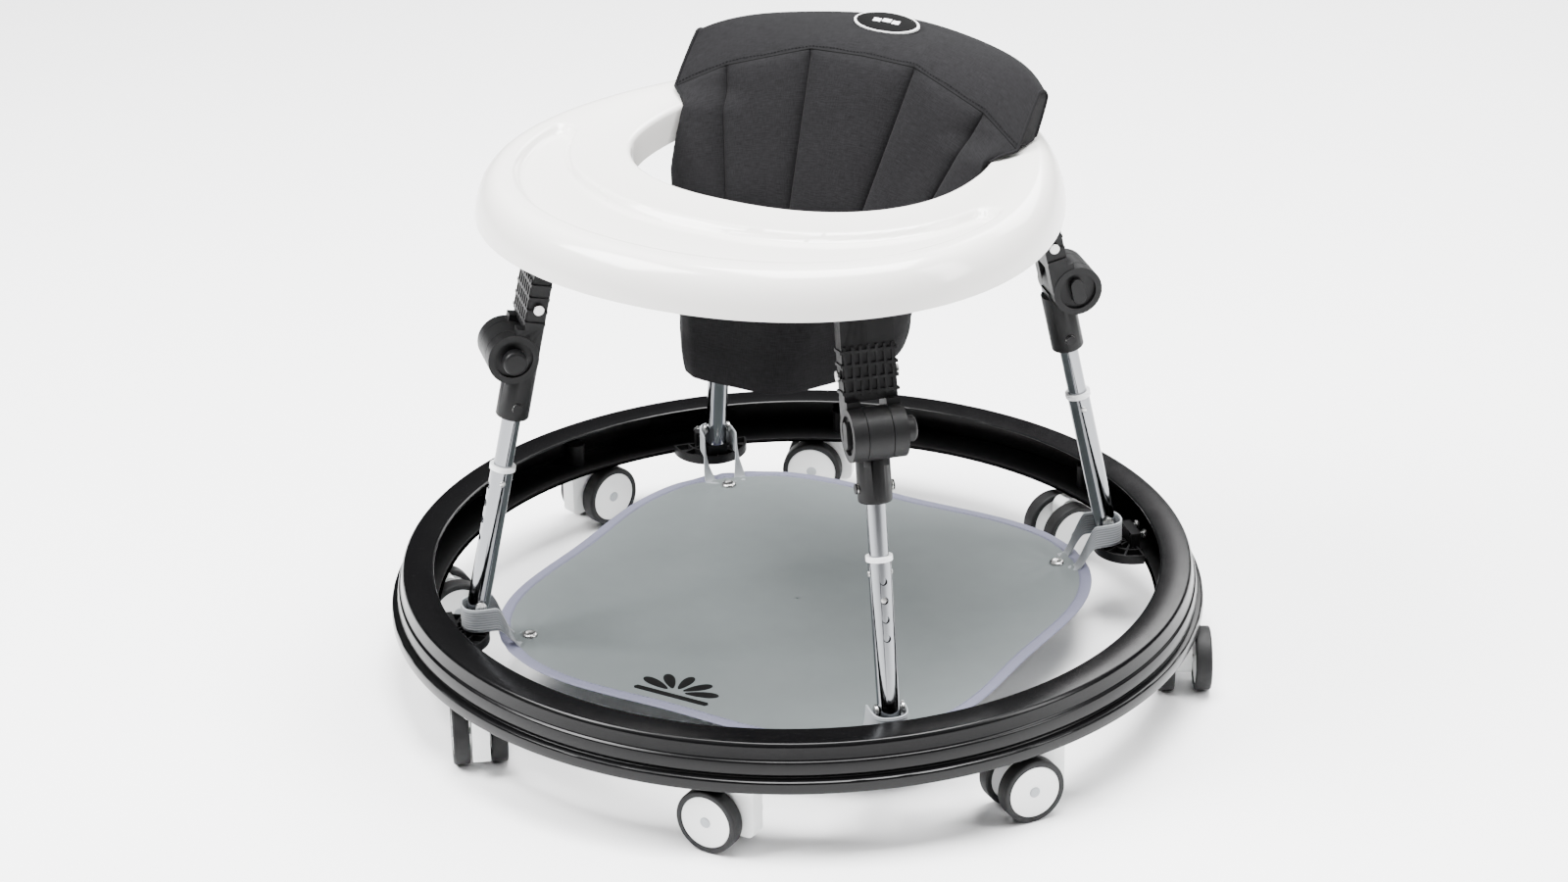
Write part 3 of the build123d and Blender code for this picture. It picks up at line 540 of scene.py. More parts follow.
def makeRing():
    section = ringSection()
    count = len(section)
    mesh = bpy.data.meshes.new("ring")
    mesh.from_pydata([(x * mm, -z * mm, 0) for x, z in section],
                     [(i, (i + 1) % count) for i in range(count)], [])
    piece = addObject("baseRing", mesh)
    sweep = Recipe("sweepRing", {"Turns": ("NodeSocketInt", 128),
                                 "Finish": ("NodeSocketMaterial", None)})
    section = sweep.node("GeometryNodeMeshToCurve", {}, {0: sweep.size("Geometry")})
    path = sweep.node("GeometryNodeCurvePrimitiveCircle", {},
                      {"Resolution": sweep.size("Turns"), "Radius": 1e-6})
    swept = sweep.node("GeometryNodeCurveToMesh", {}, {"Curve": path, "Profile Curve": section})
    sweep.close(swept, sweep.size("Finish"))
    sweep.apply(piece, Turns=ring["turns"], Finish=paint["ring"])
    outward(piece)
    bevel = piece.modifiers.new("ease", "BEVEL")
    bevel.width, bevel.segments, bevel.limit_method = ring["ease"], 3, "ANGLE"
    bevel.angle_limit = math.radians(25)
    settle(piece)
    smoothed(piece, 50)
    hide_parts("base_ring_shell")
    place(piece, "base_ring_shell", "ring_plastic")


makeRing()
print("ring made")

# tray: a polar grid from the skirt's foot over the deck to the seat hole's foot

tray = {
    "low": 430, "high": 467, "wall": 3, "shift": -6, "skirt": 24, "dish": 5,
    "holeHalf": 150, "holeFront": -97, "holeBack": 165, "holeSquare": 2.3, "rimRound": 5,
    "recessDeep": 7, "recessIn": 53, "recessOut": 9, "recessEnd": -26, "recessWall": 6, "recessBlend": 3.5,
    "columns": 320, "skirtRows": 12, "deckRows": 60, "rimRows": 8, "holeRows": 5,
}


def trayReach(a):
    return 245 - 12 * np.sin(a) - 4 * np.cos(2 * a) - 8 * np.sin(3 * a) - np.cos(4 * a)


def holeReach(a, grow=0.0):
    # the seat hole's rim in direction a, from the hole's own middle
    half = tray["holeHalf"] + grow
    deep = (tray["holeBack"] - tray["holeFront"]) / 2 + grow
    n = tray["holeSquare"]
    scale = (np.abs(np.cos(a)) ** n + np.abs(np.sin(a)) ** n) ** (-1 / n)
    return half * scale * np.cos(a), deep * scale * np.sin(a)


def makeTray():
    # from the skirt's foot over the deck and round the rim to the hole's foot
    a = np.linspace(0, 2 * math.pi, tray["columns"], endpoint=False)
    foot = np.stack([trayReach(a) * np.cos(a), trayReach(a) * np.sin(a) + tray["shift"]], axis=1)
    hx, hy = holeReach(a)
    middle = (tray["holeBack"] + tray["holeFront"]) / 2
    rim = np.stack([hx, hy + middle], axis=1)
    inward = -np.stack([np.cos(a), np.sin(a)], axis=1)
    rows = []
    for s in np.linspace(0, 1, tray["skirtRows"], endpoint=False):
        turn = s * math.pi / 2
        inset = tray["skirt"] * (1 - math.cos(turn) ** 0.9)
        z = tray["low"] + (tray["high"] - tray["low"]) * math.sin(turn) ** 1.1
        rows.append((foot + inward * inset, z))
    edge = foot + inward * tray["skirt"]
    outerRim = rim - (rim - edge) / np.linalg.norm(rim - edge, axis=1)[:, None] * tray["rimRound"]
    for s in np.linspace(0, 1, tray["deckRows"]):
        spot = edge + (outerRim - edge) * s
        fromEdge = np.linalg.norm(spot - edge, axis=1)
        fromHole = np.linalg.norm(spot - rim, axis=1)
        z = tray["high"] - tray["dish"] * smoothstep(0, 1, s) ** 1.4
        inside = np.stack([fromEdge - tray["recessOut"], fromHole - tray["recessIn"],
                           tray["recessEnd"] - spot[:, 1]])
        soft = -tray["recessBlend"] * np.log(np.exp(-inside / tray["recessBlend"]).sum(axis=0))
        z = z - tray["recessDeep"] * smoothstep(0, tray["recessWall"], soft)
        rows.append((spot, z))
    rimTop = tray["high"] - tray["dish"]
    toHole = (rim - outerRim) / tray["rimRound"]
    for s in np.linspace(0, 1, tray["rimRows"])[1:]:
        turn = s * math.pi / 2
        spot = outerRim + toHole * tray["rimRound"] * math.sin(turn)
        z = rimTop - tray["rimRound"] * (1 - math.cos(turn))
        rows.append((spot, z))
    for s in np.linspace(0, 1, tray["holeRows"])[1:]:
        z = rimTop - tray["rimRound"] + (tray["low"] + 2 - rimTop + tray["rimRound"]) * s
        rows.append((rim, z))
    faces = gridFaces(len(rows), len(a), True)
    piece = meshFrom("trayShell", stacked(rows).reshape(-1, 3), faces, paint["tray"])
    outward(piece)
    thickened(piece, tray["wall"])
    smoothed(piece, 50)
    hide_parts("tray_shell")
    place(piece, "tray_shell", "tray_plastic")


makeTray()
print("tray made")


# legs: where the tubes hinge and how they lean, and the bright heads: how far up the tube, how far out
leg = {
    "hinge": (280, 93), "lean": math.radians(12), "collarFrom": 0.1245,
    "heads": {"SleeveBolt": (185, 13.7, 4.4, 2.2, "_knee_socket"),
              "TubeRivet": (114, 9.1, 2.6, 1.1, "_outer_tube")},
}


def legPoint(k, along=0.0, side=0.0):
    # a place on leg k: up along its tube from the hinge, and sideways round the ring
    a, lean = legAngles[k], leg["lean"]
    radial, sideways = np.array([math.cos(a), math.sin(a), 0]), np.array([-math.sin(a), math.cos(a), 0])
    up = np.array([0, 0, 1.0])
    tube = -math.sin(lean) * radial + math.cos(lean) * up
    return (radial * leg["hinge"][0] + up * leg["hinge"][1] + tube * along + sideways * side) * mm


# stitches laid along a line
def stitchLine(name, points, material, gap, thick, closed=False):
    count = len(points)
    edges = [(i, (i + 1) % count) for i in range(count if closed else count - 1)]
    mesh = bpy.data.meshes.new(name)
    mesh.from_pydata([tuple(p) for p in points], edges, [])
    piece = addObject(name, mesh)
    number = "NodeSocketFloat"
    recipe = Recipe("layStitches", {"Gap": (number, 0.003), "Thick": (number, 0.0005),
                                    "Share": (number, 0.7), "Finish": ("NodeSocketMaterial", None)})
    line = recipe.node("GeometryNodeMeshToCurve", {}, {0: recipe.size("Geometry")})
    spots = recipe.node("GeometryNodeCurveToPoints", {"mode": "LENGTH"},
                        {0: line, "Length": recipe.size("Gap")})
    turn = spots.node.outputs["Rotation"]
    thread = recipe.node("GeometryNodeMeshUVSphere", {}, {"Segments": 8, "Rings": 6, "Radius": 1.0})
    multiply, thickness = {"operation": "MULTIPLY"}, recipe.size("Thick")
    length = recipe.node("ShaderNodeMath", multiply, {0: recipe.size("Gap"), 1: recipe.size("Share")})
    half = recipe.node("ShaderNodeMath", multiply, {0: length, 1: 0.5})
    size = recipe.node("ShaderNodeCombineXYZ", {}, {0: thickness, 1: thickness, 2: half})
    laid = recipe.node("GeometryNodeInstanceOnPoints", {},
                       {"Points": spots, "Instance": thread, "Rotation": turn, "Scale": size})
    recipe.close(laid, recipe.size("Finish"))
    recipe.apply(piece, Gap=gap * mm, Thick=thick * mm, Share=0.68, Finish=material)
    smoothed(piece)
    return piece


# seat back: a padded cap on the deck with a quilted panel that leans down into the sling

seat = {
    "stations": (-165, -124, -50, 50, 124, 165), "across": (14, 24, 28, 24, 14),
    "panelFoot": 385, "lean": 0.55, "footX": (-123, -86, -37, 32, 81, 120),
    "panelPuff": 7.0, "capPuff": 5.0, "wrinkle": 0.9, "crease": 2.2, "panelThick": 12,
    "panelRows": 34, "slopeRows": 18, "topRows": 8, "backRows": 14, "underRows": 10, "innerRows": 12,
    "deck": 469, "holeBlend": (458, 474), "holeHalf": 144, "tuck": 14, "tuckFrom": (90, 150),
    "taper": 112, "seamWide": 2.2,
}
sections = {
    0: ((124, 513), (185, 527), (203, 519), (206, 469)),
    50: ((122, 512), (178, 525.5), (200, 517), (203, 469)),
    124: ((105, 490), (155, 519), (174, 511), (172, 469)),
    165: ((88, 469.5), (127, 508), (141, 500), (118, 469)),
}


def sectionAt(x):
    # the front seam runs straight between its corners, and the rest bends smoothly
    stations = sorted(sections)
    table = np.array([np.ravel(sections[s]) for s in stations], float)
    edge = stations[-1]
    powers = np.array([[(s / edge) ** (2 * i) for i in range(4)] for s in stations])
    smooth = np.linalg.solve(powers, table)
    reach = min(abs(x), edge)
    curved = np.array([(reach / edge) ** (2 * i) for i in range(4)]) @ smooth
    straight = [np.interp(reach, stations, table[:, i]) for i in range(2)]
    return np.concatenate([straight, curved[2:]]).reshape(4, 2)


def puff(t, sharp=3.0):
    # 0 at both seams, 1 between them, rising steeply beside each seam
    return 1 - np.abs(2 * np.clip(t, 0, 1) - 1) ** sharp


def makeSeatBack():
    columns, panelShare, footX = [], [], []
    for i, count in enumerate(seat["across"]):
        last = i == len(seat["across"]) - 1
        for j in range(count + (1 if last else 0)):
            t = 0.5 - 0.5 * math.cos(math.pi * j / count)
            for line, ends in ((columns, seat["stations"]), (footX, seat["footX"])):
                line.append(ends[i] + (ends[i + 1] - ends[i]) * t)
            panelShare.append(t)
    columns, footX, panelShare = np.array(columns), np.array(footX), np.array(panelShare)
    across = puff(panelShare)
    edge = seat["stations"][-1]
    wide = puff((columns + edge) / (2 * edge), 5)
    toSeam = np.min([np.abs(columns - x) for x in seat["stations"][1:-1]], axis=0)
    groove = np.exp(-toSeam / seat["seamWide"])
    rows, pushes = [], []
    profile = np.array([sectionAt(x) for x in columns])
    seamY, seamZ = profile[:, 0, 0], profile[:, 0, 1]
    none = np.zeros(len(columns))

    def add(x, y, z, pushY=none, pushZ=none):
        # one line of points across the seat, and how far the padding pushes them out
        rows.append(np.column_stack([x, y, z + none]))
        pushes.append(np.column_stack([none, pushY + none, pushZ + none]))

    def panelAt(z):
        # the panel at height z: it narrows towards its foot, and keeps inside the tray's hole
        drop = seamZ - z
        x = columns + (footX - columns) * np.clip(drop / seat["taper"], 0, 1.15)
        inHole = 1 - smoothstep(*seat["holeBlend"], z)
        x = x - np.sign(x) * inHole * np.clip(np.abs(x) - seat["holeHalf"], 0, 30)
        tuck = inHole * seat["tuck"] * smoothstep(*seat["tuckFrom"], np.abs(columns))
        return x, seamY - seat["lean"] * drop - tuck

    def between(first, s):
        # the line at share s from one corner of the section to the next
        return (profile[:, first] + (profile[:, first + 1] - profile[:, first]) * s).T

    for s in np.linspace(0, 1, seat["panelRows"], endpoint=False):
        z = seat["panelFoot"] + (seamZ - seat["panelFoot"]) * s
        x, y = panelAt(z)
        # folds run from the seams, slightly across them
        fold = np.sin(x * 0.11 + z * 0.06) * 0.5 + np.sin(x * 0.05 - z * 0.13 + 1.7) * 0.5
        near = np.exp(-panelShare / 0.25) + np.exp(-(1 - panelShare) / 0.25)
        push = seat["panelPuff"] * across * (0.35 + 0.65 * puff(s, 6))
        push = push + seat["wrinkle"] * fold * near * across - seat["crease"] * groove
        add(x, y, z, -0.88 * push, 0.47 * push)
    for s in np.linspace(0, 1, seat["slopeRows"], endpoint=False):
        bulge = puff(s, 2.4) * (0.25 + 0.75 * wide) * seat["capPuff"]
        crinkle = 0.8 * np.sin(columns * 0.16 + s * 3) * np.exp(-s / 0.25) * np.minimum(1, s * 12)
        add(columns, *between(0, s), -0.35 * bulge, 0.94 * (bulge + crinkle))
    for s in np.linspace(0, 1, seat["topRows"], endpoint=False):
        bulge = puff(s, 2.0) * 3.0
        add(columns, *between(1, s), 0.45 * bulge, 0.89 * bulge)
    for s in np.linspace(0, 1, seat["backRows"], endpoint=False):
        add(columns, *between(2, s), puff(s, 2.4) * 4.0 * (0.4 + 0.6 * wide))
    # underneath: back along the deck, then down behind the panel
    returnY = seamY - seat["lean"] * (seamZ - seat["deck"] - 1) + seat["panelThick"]
    returnY = np.minimum(returnY, profile[:, 3, 0] - 6)
    for s in np.linspace(0, 1, seat["underRows"], endpoint=False):
        add(columns, profile[:, 3, 0] + (returnY - profile[:, 3, 0]) * s, seat["deck"])
    for s in np.linspace(0, 1, seat["innerRows"]):
        z = seat["deck"] + (seat["panelFoot"] - seat["deck"]) * s
        x, y = panelAt(z)
        add(x, y + seat["panelThick"] * (1 - 0.25 * s), z)
    points = (np.array(rows) + np.array(pushes)) * mm
    piece = clothGrid("seatBack", points, paint["seat"], wrapRows=True)
    ends = bmesh.new()
    ends.from_mesh(piece.data)
    layer = ends.loops.layers.uv["cloth"]
    filled = bmesh.ops.holes_fill(ends, edges=[e for e in ends.edges if e.is_boundary], sides=0)
    split = bmesh.ops.triangulate(ends, faces=filled["faces"])
    for face in split["faces"]:
        for loop in face.loops:
            loop[layer].uv = (loop.vert.co.y, loop.vert.co.z)
    bmesh.ops.recalc_face_normals(ends, faces=ends.faces)
    ends.to_mesh(piece.data)
    ends.free()
    smoothed(piece, 58)
    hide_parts("seat_back")
    place(piece, "seat_back", "seat_cloth")
    # thin cords sunk in the panel's seams, a thicker one down each end, and stitches over the top seam
    front = seat["panelRows"]
    lines = [points[:front, index] + (0, 0.0003, -0.0001) for index in np.cumsum(seat["across"])[:-1]]
    lines.append(points[front] + (0, 0.0004, -0.0001))
    cords = [curveThrough("seamCord", line, 0.0007, paint["thread"]) for line in lines]
    endRows = slice(front - 3, front + seat["slopeRows"] + seat["topRows"] + seat["backRows"])
    for index in (0, len(columns) - 1):
        cords.append(curveThrough("seamCord", points[endRows, index], 0.0013, paint["seat"]))
    above = points[front + 1, 1:-1] + (0, -0.0004, 0.0006)
    cords.append(stitchLine("seatStitch", above, paint["thread"], 3.2, 0.35))
    place(merged("seatSeams", cords), "seat_back", "seat_cloth")


label = {
    "centre": (0, 166, 530.1), "half": (31, 13), "tilt": math.radians(19),
    "layers": ((1.0, 0.0, "labelWhite"), (0.93, 0.35, "labelBlack")),
    "edge": ((1.0, -1.6), (1.0, 0.0), (0.985, 0.25), (0.5, 0.5), (0.02, 0.6)),
    "bars": ((-9, 7, 0), (0, 8, 1), (9, 7, 0)), "barHalf": 2.2, "barFrom": 0.8, "barTo": 1.35,
}


def onLabel(x, y, z):
    # a place on the tilted label, from its middle, in metres
    centre, tilt = label["centre"], label["tilt"]
    return np.array([centre[0] + x, centre[1] + y * math.cos(tilt) - z * math.sin(tilt),
                     centre[2] + y * math.sin(tilt) + z * math.cos(tilt)]) * mm


def makeLabel():
    half, pieces = label["half"], []
    for share, lift, kind in label["layers"]:
        a = np.linspace(0, 2 * math.pi, 72, endpoint=False)
        rows = []
        for radius, drop in label["edge"]:
            x, y = half[0] * share * radius * np.cos(a), half[1] * share * radius * np.sin(a)
            rows += [onLabel(*point) for point in zip(x, y, np.full(72, drop + lift))]
        faces = gridFaces(len(label["edge"]), 72, True)
        pieces.append(outward(meshFrom("label", rows, faces, paint[kind])))
    # a plain mark of three short bars
    for x, wide, shift in label["bars"]:
        bar = [onLabel(x + dx, shift + dy, dz) for dy in (-label["barHalf"], label["barHalf"])
               for dx in (-wide / 2, wide / 2) for dz in (label["barFrom"], label["barTo"])]
        faces = [(0, 1, 3, 2), (4, 5, 7, 6), (0, 1, 5, 4), (2, 3, 7, 6), (0, 2, 6, 4), (1, 3, 7, 5)]
        pieces.append(outward(meshFrom("mark", bar, faces, paint["labelWhite"], False)))
    place(merged("seatLabel", pieces), "seat_back", "seat_cloth")


makeSeatBack()
makeLabel()
print("seat back made")

# sling: a cloth bucket hung inside the tray, with two leg holes in its floor

sling = {
    "rim": ((60, -92), (122, -18), (122, 30), (96, 78)), "foot": ((46, -104), (94, -14), (94, 20), (70, 52)),
    "high": 426, "low": 292, "rimDrop": 27, "around": 240, "rows": 34, "floorRows": 16, "thick": 3.6,
    "holes": ((-50, -18), (50, -18)), "holeRadius": 26, "wave": 1.2, "rimSlope": (-60, 45),
    "rearLift": 7, "liftFrom": (-40, 60), "floorRise": 6, "padFrom": 0.74, "pad": 1.8,
}


def bucketOutline(corners, count, softness=2):
    points = np.array(list(corners) + [(-x, y) for x, y in reversed(corners)], float)
    for _ in range(softness):
        after = np.roll(points, -1, axis=0)
        points = np.stack([points * 0.88 + after * 0.12, points * 0.12 + after * 0.88], axis=1).reshape(-1, 2)
    closed = np.vstack([points, points[:1]])
    reach = np.concatenate([[0], np.cumsum(np.linalg.norm(np.diff(closed, axis=0), axis=1))])
    spots = np.linspace(0, reach[-1], count, endpoint=False)
    return np.column_stack([np.interp(spots, reach, closed[:, 0]), np.interp(spots, reach, closed[:, 1])])


def makeSling():
    count = sling["around"]
    rim, foot = bucketOutline(sling["rim"], count), bucketOutline(sling["foot"], count)
    spin = np.linspace(0, 2 * math.pi, count, endpoint=False)
    rows = []
    for s in np.linspace(0, 1, sling["rows"]):
        outline = rim + (foot - rim) * s
        away = outline / np.linalg.norm(outline, axis=1)[:, None]
        # upright folds, deepest halfway down, and a padded band along the foot
        fold = (sling["wave"] * np.sin(spin * 9 + 1.3 * np.sin(spin * 2 + s * 2))
                * math.sin(math.pi * min(1, s * 1.15)))
        fold = fold + 1.1 * np.sin(spin * 17 + 4 * s) * s * (1 - s) * 2
        inPad = (s - sling["padFrom"]) / (1 - sling["padFrom"])
        band = sling["pad"] * math.sin(math.pi * inPad) ** 0.7 if 0 < inPad < 1 else 0.0
        top = sling["high"] - sling["rimDrop"] * smoothstep(*sling["rimSlope"], rim[:, 1])
        z = top + (sling["low"] + sling["floorRise"] - top) * s
        lift = sling["rearLift"] * smoothstep(*sling["liftFrom"], outline[:, 1]) * s
        rows.append((outline + away * (fold + band)[:, None], z + lift))
    for s in np.linspace(0, 1, sling["floorRows"])[1:]:
        outline = foot * (1 - s * 0.995)
        lift = sling["rearLift"] * smoothstep(*sling["liftFrom"], foot[:, 1]) * (1 - s)
        rows.append((outline, sling["low"] + sling["floorRise"] * (1 - s) ** 3 + lift))
    piece = clothGrid("seatSling", stacked(rows), paint["seat"], wrapColumns=True)
    outward(piece)
    thickened(piece, sling["thick"])
    cutters = []
    for x, y in sling["holes"]:
        drum = [(-30, 0.05), (-30, sling["holeRadius"]), (30, sling["holeRadius"]), (30, 0.05)]
        cutters.append(lathe("cutter", drum, paint["seat"], 48, (x * mm, y * mm, sling["low"] * mm)))
    cutter = merged("legHoles", cutters)
    cut = piece.modifiers.new("holes", "BOOLEAN")
    cut.operation, cut.object, cut.solver = "DIFFERENCE", cutter, "EXACT"
    settle(piece)
    bpy.data.objects.remove(cutter)
    piece.data.materials.clear()
    piece.data.materials.append(paint["seat"])
    smoothed(piece, 60)
    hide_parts("seat_sling")
    place(piece, "seat_sling", "seat_cloth")
    bindings = []
    for x, y in sling["holes"]:
        a = np.linspace(0, 2 * math.pi, 48, endpoint=False)
        z = sling["low"] + 2.2
        edge = [(mm * (x + sling["holeRadius"] * math.cos(t)), mm * (y + sling["holeRadius"] * math.sin(t)),
                 mm * z) for t in a]
        bindings.append(curveThrough("legBinding", edge, 0.0028, paint["seat"], closed=True))
    place(merged("legHoleBindings", bindings), "seat_sling", "seat_cloth")


makeSling()
print("sling made")

# floor mat: oxford cloth with a bound, stitched edge, held at four snaps and four elastic loops

mat = {
    "radius": 243, "lobe": 19, "height": 55, "thick": 1.3, "binding": 11, "bindingThick": 2.3,
    "snapRadius": 237, "pucker": 1.5, "puckerReach": 26, "ripple": 1.3, "around": 288, "rings": 70,
    "stitch": 4.2, "mark": (-6, -196), "dip": 1.2, "dipAt": 120, "dipWide": 90,
}


def matReach(a):
    return mat["radius"] - mat["lobe"] * np.cos(4 * a)


def matLevel(x, y):
    # shallow slack between the four fixings, with short folds fanning out from each snap
    r, a = np.hypot(x, y), np.arctan2(y, x)
    ripple = np.sin(x * 0.021 + y * 0.012) * np.cos(y * 0.017 - x * 0.008)
    slack = mat["ripple"] * ripple * smoothstep(0, 240, 260 - r)
    fan = 0
    for spot in legAngles:
        sx, sy = mat["snapRadius"] * math.cos(spot), mat["snapRadius"] * math.sin(spot)
        away, spin = np.hypot(x - sx, y - sy), np.arctan2(y - sy, x - sx)
        fade = smoothstep(3, 16, away) * np.exp(-away / mat["puckerReach"])
        fan = fan + mat["pucker"] * np.sin(spin * 9) * fade
    return mat["height"] + slack + fan - mat["dip"] * np.exp(-((r - mat["dipAt"]) / mat["dipWide"]) ** 2)


def makeMat():
    a = np.linspace(0, 2 * math.pi, mat["around"], endpoint=False)
    rows = []
    for s in np.linspace(0.004, 1, mat["rings"]):
        reach = (matReach(a) - 1.5) * s
        x, y = reach * np.cos(a), reach * np.sin(a)
        rows.append((x, y, matLevel(x, y)))
    faces = gridFaces(len(rows), len(a), True)
    piece = meshFrom("matCloth", stacked(rows).reshape(-1, 3), faces, paint["mat"])
    outward(piece)
    if piece.data.polygons[0].normal.z < 0:
        piece.data.flip_normals()
    thickened(piece, mat["thick"])
    smoothed(piece)
    bindRows, half = [], mat["bindingThick"] / 2
    wide = mat["binding"]
    for inset, share in ((-0.2, 0), (0.35, 0.6), (1.6, 0.95), (4, 1), (8, 1), (10.4, 0.9),
                         (wide, 0.35), (wide, -0.9), (4, -1), (1.2, -0.9)):
        reach = matReach(a) - inset
        x, y = reach * np.cos(a), reach * np.sin(a)
        weave = 0.12 * np.sin(a * 180) * (inset > 2)
        bindRows.append((x, y, matLevel(x, y) - 0.5 * mat["thick"] + share * half + weave))
    faces = gridFaces(len(bindRows), len(a), True, True)
    bindingPiece = meshFrom("matBinding", stacked(bindRows).reshape(-1, 3), faces, paint["binding"])
    outward(bindingPiece)
    reach = matReach(a) - mat["binding"] + 1.6
    x, y = reach * np.cos(a), reach * np.sin(a)
    line = np.column_stack([x, y, matLevel(x, y) - 0.5 * mat["thick"] + half + 0.1]) * mm
    stitches = stitchLine("matStitches", line, paint["matThread"], mat["stitch"], 0.42, closed=True)
    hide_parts("floor_mat")
    for one in (piece, bindingPiece, stitches):
        place(one, "floor_mat", "mat_cloth")


def makeSnaps():
    pieces = []
    for spot in legAngles:
        x, y = mat["snapRadius"] * math.cos(spot), mat["snapRadius"] * math.sin(spot)
        z = float(matLevel(np.array([x]), np.array([y]))[0])
        profile = [(z - 3.2, 0.05), (z - 3.2, 6.2), (z + 0.6, 6.7), (z + 1.5, 6.4), (z + 2.3, 5.4),
                   (z + 2.6, 3.6), (z + 2.1, 2.9), (z + 2.0, 0.05)]
        pieces.append(lathe("snap", profile, paint["steel"], 40, (x * mm, y * mm, 0)))
    whole = merged("matSnaps", pieces)
    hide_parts("mat_snaps")
    place(whole, "mat_snaps", "fastener_steel")


# elastic loops: each runs from under the mat's edge, round the outside of the tube's foot and back
strap = {
    "wide": 21, "thick": 1.3, "mid": 82, "matLevel": 53.9, "free": (248, 268),
    "plan": ((243, 12), (255, 15), (272, 15), (286, 14.4), (292.8, 9.8), (294.6, 3.5)),
}


def makeStraps():
    pieces = []
    path = np.array(strap["plan"] + tuple((r, -s) for r, s in reversed(strap["plan"])), float)
    for _ in range(3):
        cut = np.stack([path[:-1] * 0.75 + path[1:] * 0.25, path[:-1] * 0.25 + path[1:] * 0.75], axis=1)
        path = np.vstack([path[:1], cut.reshape(-1, 2), path[-1:]])
    for spot in legAngles:
        rows = []
        for w in np.linspace(-0.5, 0.5, 9):
            # flat under the mat, standing up round the tube
            free = smoothstep(*strap["free"], path[:, 0])
            level = strap["matLevel"] + (strap["mid"] - strap["matLevel"]) * free + strap["wide"] * w * free
            side = path[:, 1] + strap["wide"] * 0.5 * w * (1 - free)
            rows.append((path[:, 0] * math.cos(spot) - side * math.sin(spot),
                         path[:, 0] * math.sin(spot) + side * math.cos(spot), level))
        piece = clothGrid("strap", stacked(rows), paint["elastic"])
        thickened(piece, strap["thick"], offset=0)
        smoothed(piece)
        pieces.append(piece)
    whole = merged("matStraps", pieces)
    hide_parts("mat_straps")
    place(whole, "mat_straps", "strap_elastic")


# a plain fan of petals over a bar, printed on the mat's front
def makeMark():
    centre, petals, outlines = mat["mark"], [], []
    for degrees in (22, 56, 90, 124, 158):
        a = math.radians(degrees)
        turn = np.linspace(0, 2 * math.pi, 28, endpoint=False)
        long, wide = 15 * np.cos(turn), 4.6 * np.sin(turn) * (1 + 0.35 * np.cos(turn))
        x = 24 * math.cos(a) + long * math.cos(a) - wide * math.sin(a)
        y = 18 * math.sin(a) + 0.8 * long * math.sin(a) + wide * math.cos(a)
        outlines.append(np.column_stack([x, y]))
    outlines.append(np.array([(-34, -9), (34, -9), (36, -6), (34, -3), (-34, -3), (-36, -6)], float))
    for outline in outlines:
        x, y = outline[:, 0] + centre[0], outline[:, 1] + centre[1]
        z = matLevel(x, y) + 0.22
        count = len(x)
        top = np.column_stack([x, y, z])
        points = np.vstack([top, top - (0, 0, 0.3)]) * mm
        faces = [tuple(range(count)), tuple(range(2 * count - 1, count - 1, -1))]
        faces += [(i, i + count, (i + 1) % count + count, (i + 1) % count) for i in range(count)]
        petals.append(outward(meshFrom("petal", points, faces, paint["labelBlack"], False)))
    place(merged("matMark", petals), "floor_mat", "mat_cloth")


makeMat()
makeMark()
makeSnaps()
makeStraps()
print("mat and straps made")

# legs, knees, arms, brackets and casters: the CAD's shapes with eased edges

edges = {"tube": 0.0003, "plastic": 0.0007, "steel": 0.0004, "wheel": 0.0006}


def makeEased(node, kind, edge, angle, slot):
    return place(eased(node, paint[kind], edges[edge], angle), node, slot)


def addMaterial(piece, material, chosen):
    # the faces whose middle passes the test get the material
    piece.data.materials.append(material)
    index = len(piece.data.materials) - 1
    for face in piece.data.polygons:
        if chosen(face.center):
            face.material_index = index


def makeLeg(k):
    name = f"leg_{k + 1}"
    outer = makeEased(name + "_outer_tube", "chrome", "tube", 40, "tube_chrome")
    start, up = legPoint(k), (legPoint(k, 1.0) - legPoint(k)) / mm
    addMaterial(outer, paint["collar"], lambda c: float((np.array(c) - start) @ up) > leg["collarFrom"])
    makeEased(name + "_inner_tube", "chrome", "tube", 40, "tube_chrome")
    makeEased(name + "_height_button", "steel", "tube", 40, "fastener_steel")
    makeEased(name + "_knee_socket", "knee", "plastic", 38, "knee_plastic")
    makeEased(name + "_knee_lock", "knee", "plastic", 38, "knee_plastic")
    # bright heads: the sleeve's bolt on both sides, and the rivet below the collar
    for title, (along, reach, radius, tall, node) in leg["heads"].items():
        profile = [(0, 0.05), (0, radius), (0.35 * tall, radius), (0.75 * tall, radius * 0.86),
                   (tall, radius * 0.5), (tall * 1.03, 0.05)]
        heads = []
        for side in (-1, 1):
            away = (legPoint(k, side=side) - legPoint(k)) / mm
            heads.append(lathe("head", profile, paint["steel"], 32, legPoint(k, along, side * reach), away))
        place(merged(name + title, heads), name + node, "fastener_steel")


for k in range(4):
    makeLeg(k)
for node, kind, slot, width in (("upper_arm_left_halves", "knee", "knee_plastic", "plastic"),
                                ("upper_arm_right_halves", "knee", "knee_plastic", "plastic"),
                                ("upper_arm_bolts", "steel", "fastener_steel", "steel"),
                                ("knee_pins", "steel", "fastener_steel", "steel"),
                                ("leg_brackets", "bracket", "bracket_plastic", "plastic"),
                                ("bracket_screws", "steel", "fastener_steel", "steel"),
                                ("base_hinge_pins", "steel", "fastener_steel", "steel"),
                                ("base_ring_underplate", "bracket", "ring_plastic", "plastic")):
    makeEased(node, kind, width, 36, slot)
print("legs made")

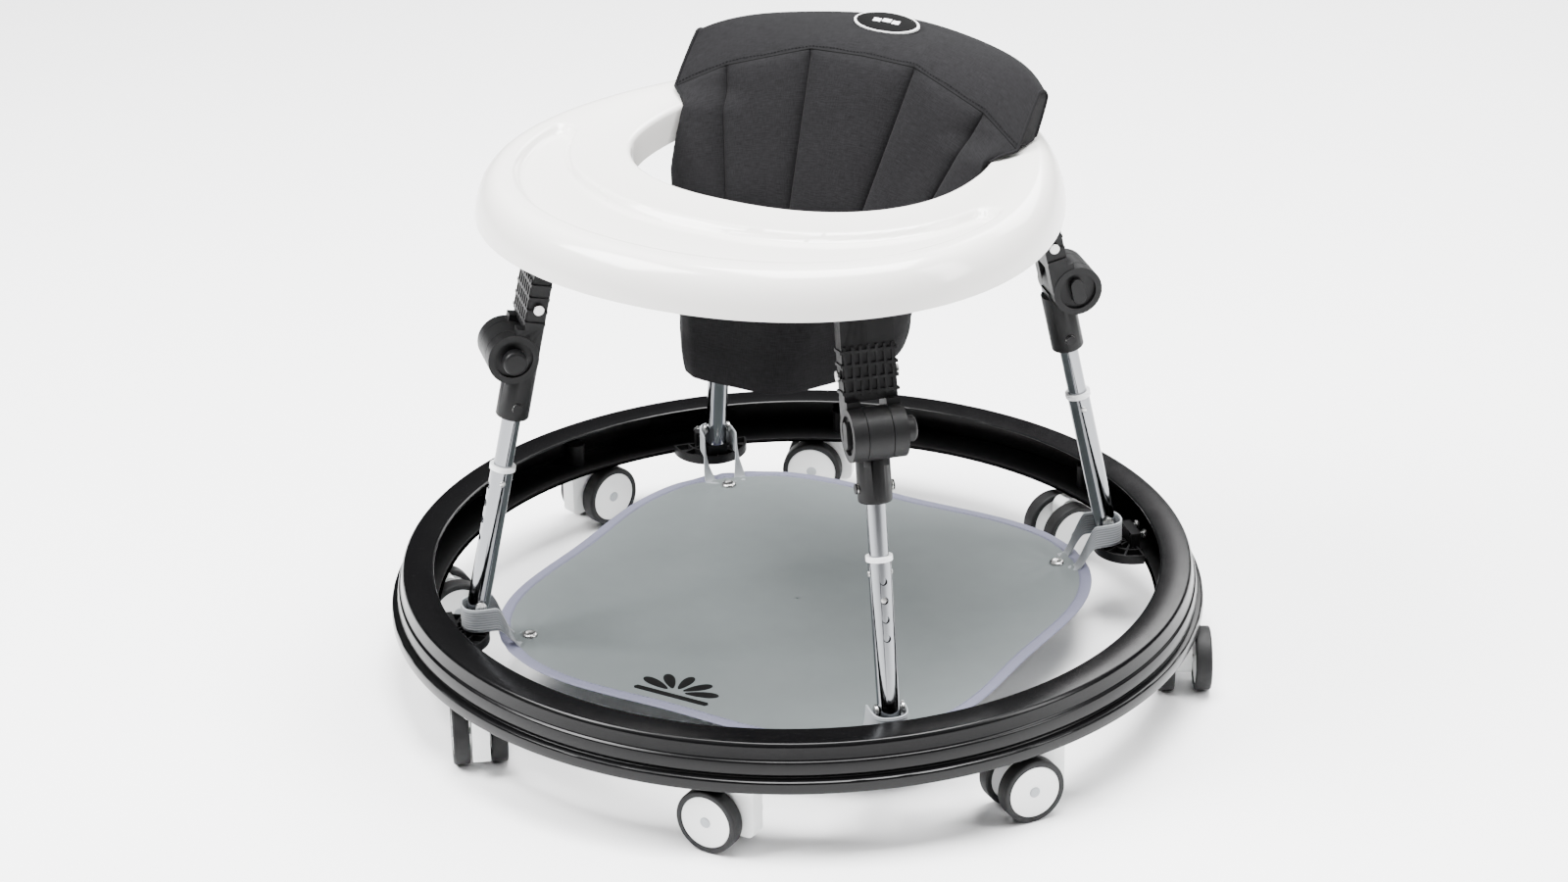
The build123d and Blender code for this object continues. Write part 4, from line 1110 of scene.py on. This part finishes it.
caster = {"ring": 332, "first": 22.5, "trail": 25, "high": 27.5, "capOut": 22.3, "capRadius": 4.6,
          "angles": (300, 240, 200, 72, 55, 127, 179, 236)}


def makeCaster(k):
    name = f"caster_{k + 1}"
    makeEased(name + "_fork", "casterWhite", "plastic", 36, "caster_white")
    makeEased(name + "_tyres", "tyre", "wheel", 40, "wheel_tread")
    makeEased(name + "_hubs", "casterWhite", "wheel", 36, "caster_white")
    spot, turn = math.radians(caster["first"] + 45 * k), math.radians(caster["angles"][k])
    centre = np.array([caster["ring"] * math.cos(spot) + caster["trail"] * math.cos(turn),
                       caster["ring"] * math.sin(spot) + caster["trail"] * math.sin(turn), caster["high"]])
    axle = np.array([-math.sin(turn), math.cos(turn), 0])
    caps = []
    for side in (-1, 1):
        r = caster["capRadius"]
        profile = [(-1.2, 0.05), (-1.2, r), (0.2, r), (0.5, r * 0.9), (0.6, r * 0.5), (0.6, 0.05)]
        caps.append(lathe("cap", profile, paint["axleGrey"], 36,
                          (centre + axle * side * caster["capOut"]) * mm, axle * side))
    place(merged(name + "AxleCaps", caps), name + "_hubs", "caster_white")


for k in range(8):
    makeCaster(k)
print("casters made")

half = stage["floorSize"] / 2
floor = meshFrom("floor", [(-half, -half, 0), (half, -half, 0), (half, half, 0), (-half, half, 0)],
                 [(0, 1, 2, 3)], floorFinish.material)


# dark near the horizon, so the chrome has something to show, and bright overhead
def makeSky():
    world = bpy.data.worlds.new("studio")
    bpy.context.scene.world = world
    world.use_nodes = True
    tree = world.node_tree
    background = tree.nodes["Background"]
    spot = tree.nodes.new("ShaderNodeTexCoord")
    split = tree.nodes.new("ShaderNodeSeparateXYZ")
    ramp = tree.nodes.new("ShaderNodeValToRGB")
    tree.links.new(spot.outputs["Generated"], split.inputs[0])
    tree.links.new(split.outputs["Z"], ramp.inputs["Fac"])
    tree.links.new(ramp.outputs["Color"], background.inputs["Color"])
    for element, (place, shade) in zip(ramp.color_ramp.elements, stage["sky"]):
        element.position, element.color = place, (shade, shade, shade * 1.01, 1)
    background.inputs["Strength"].default_value = stage["skyStrength"]


makeSky()
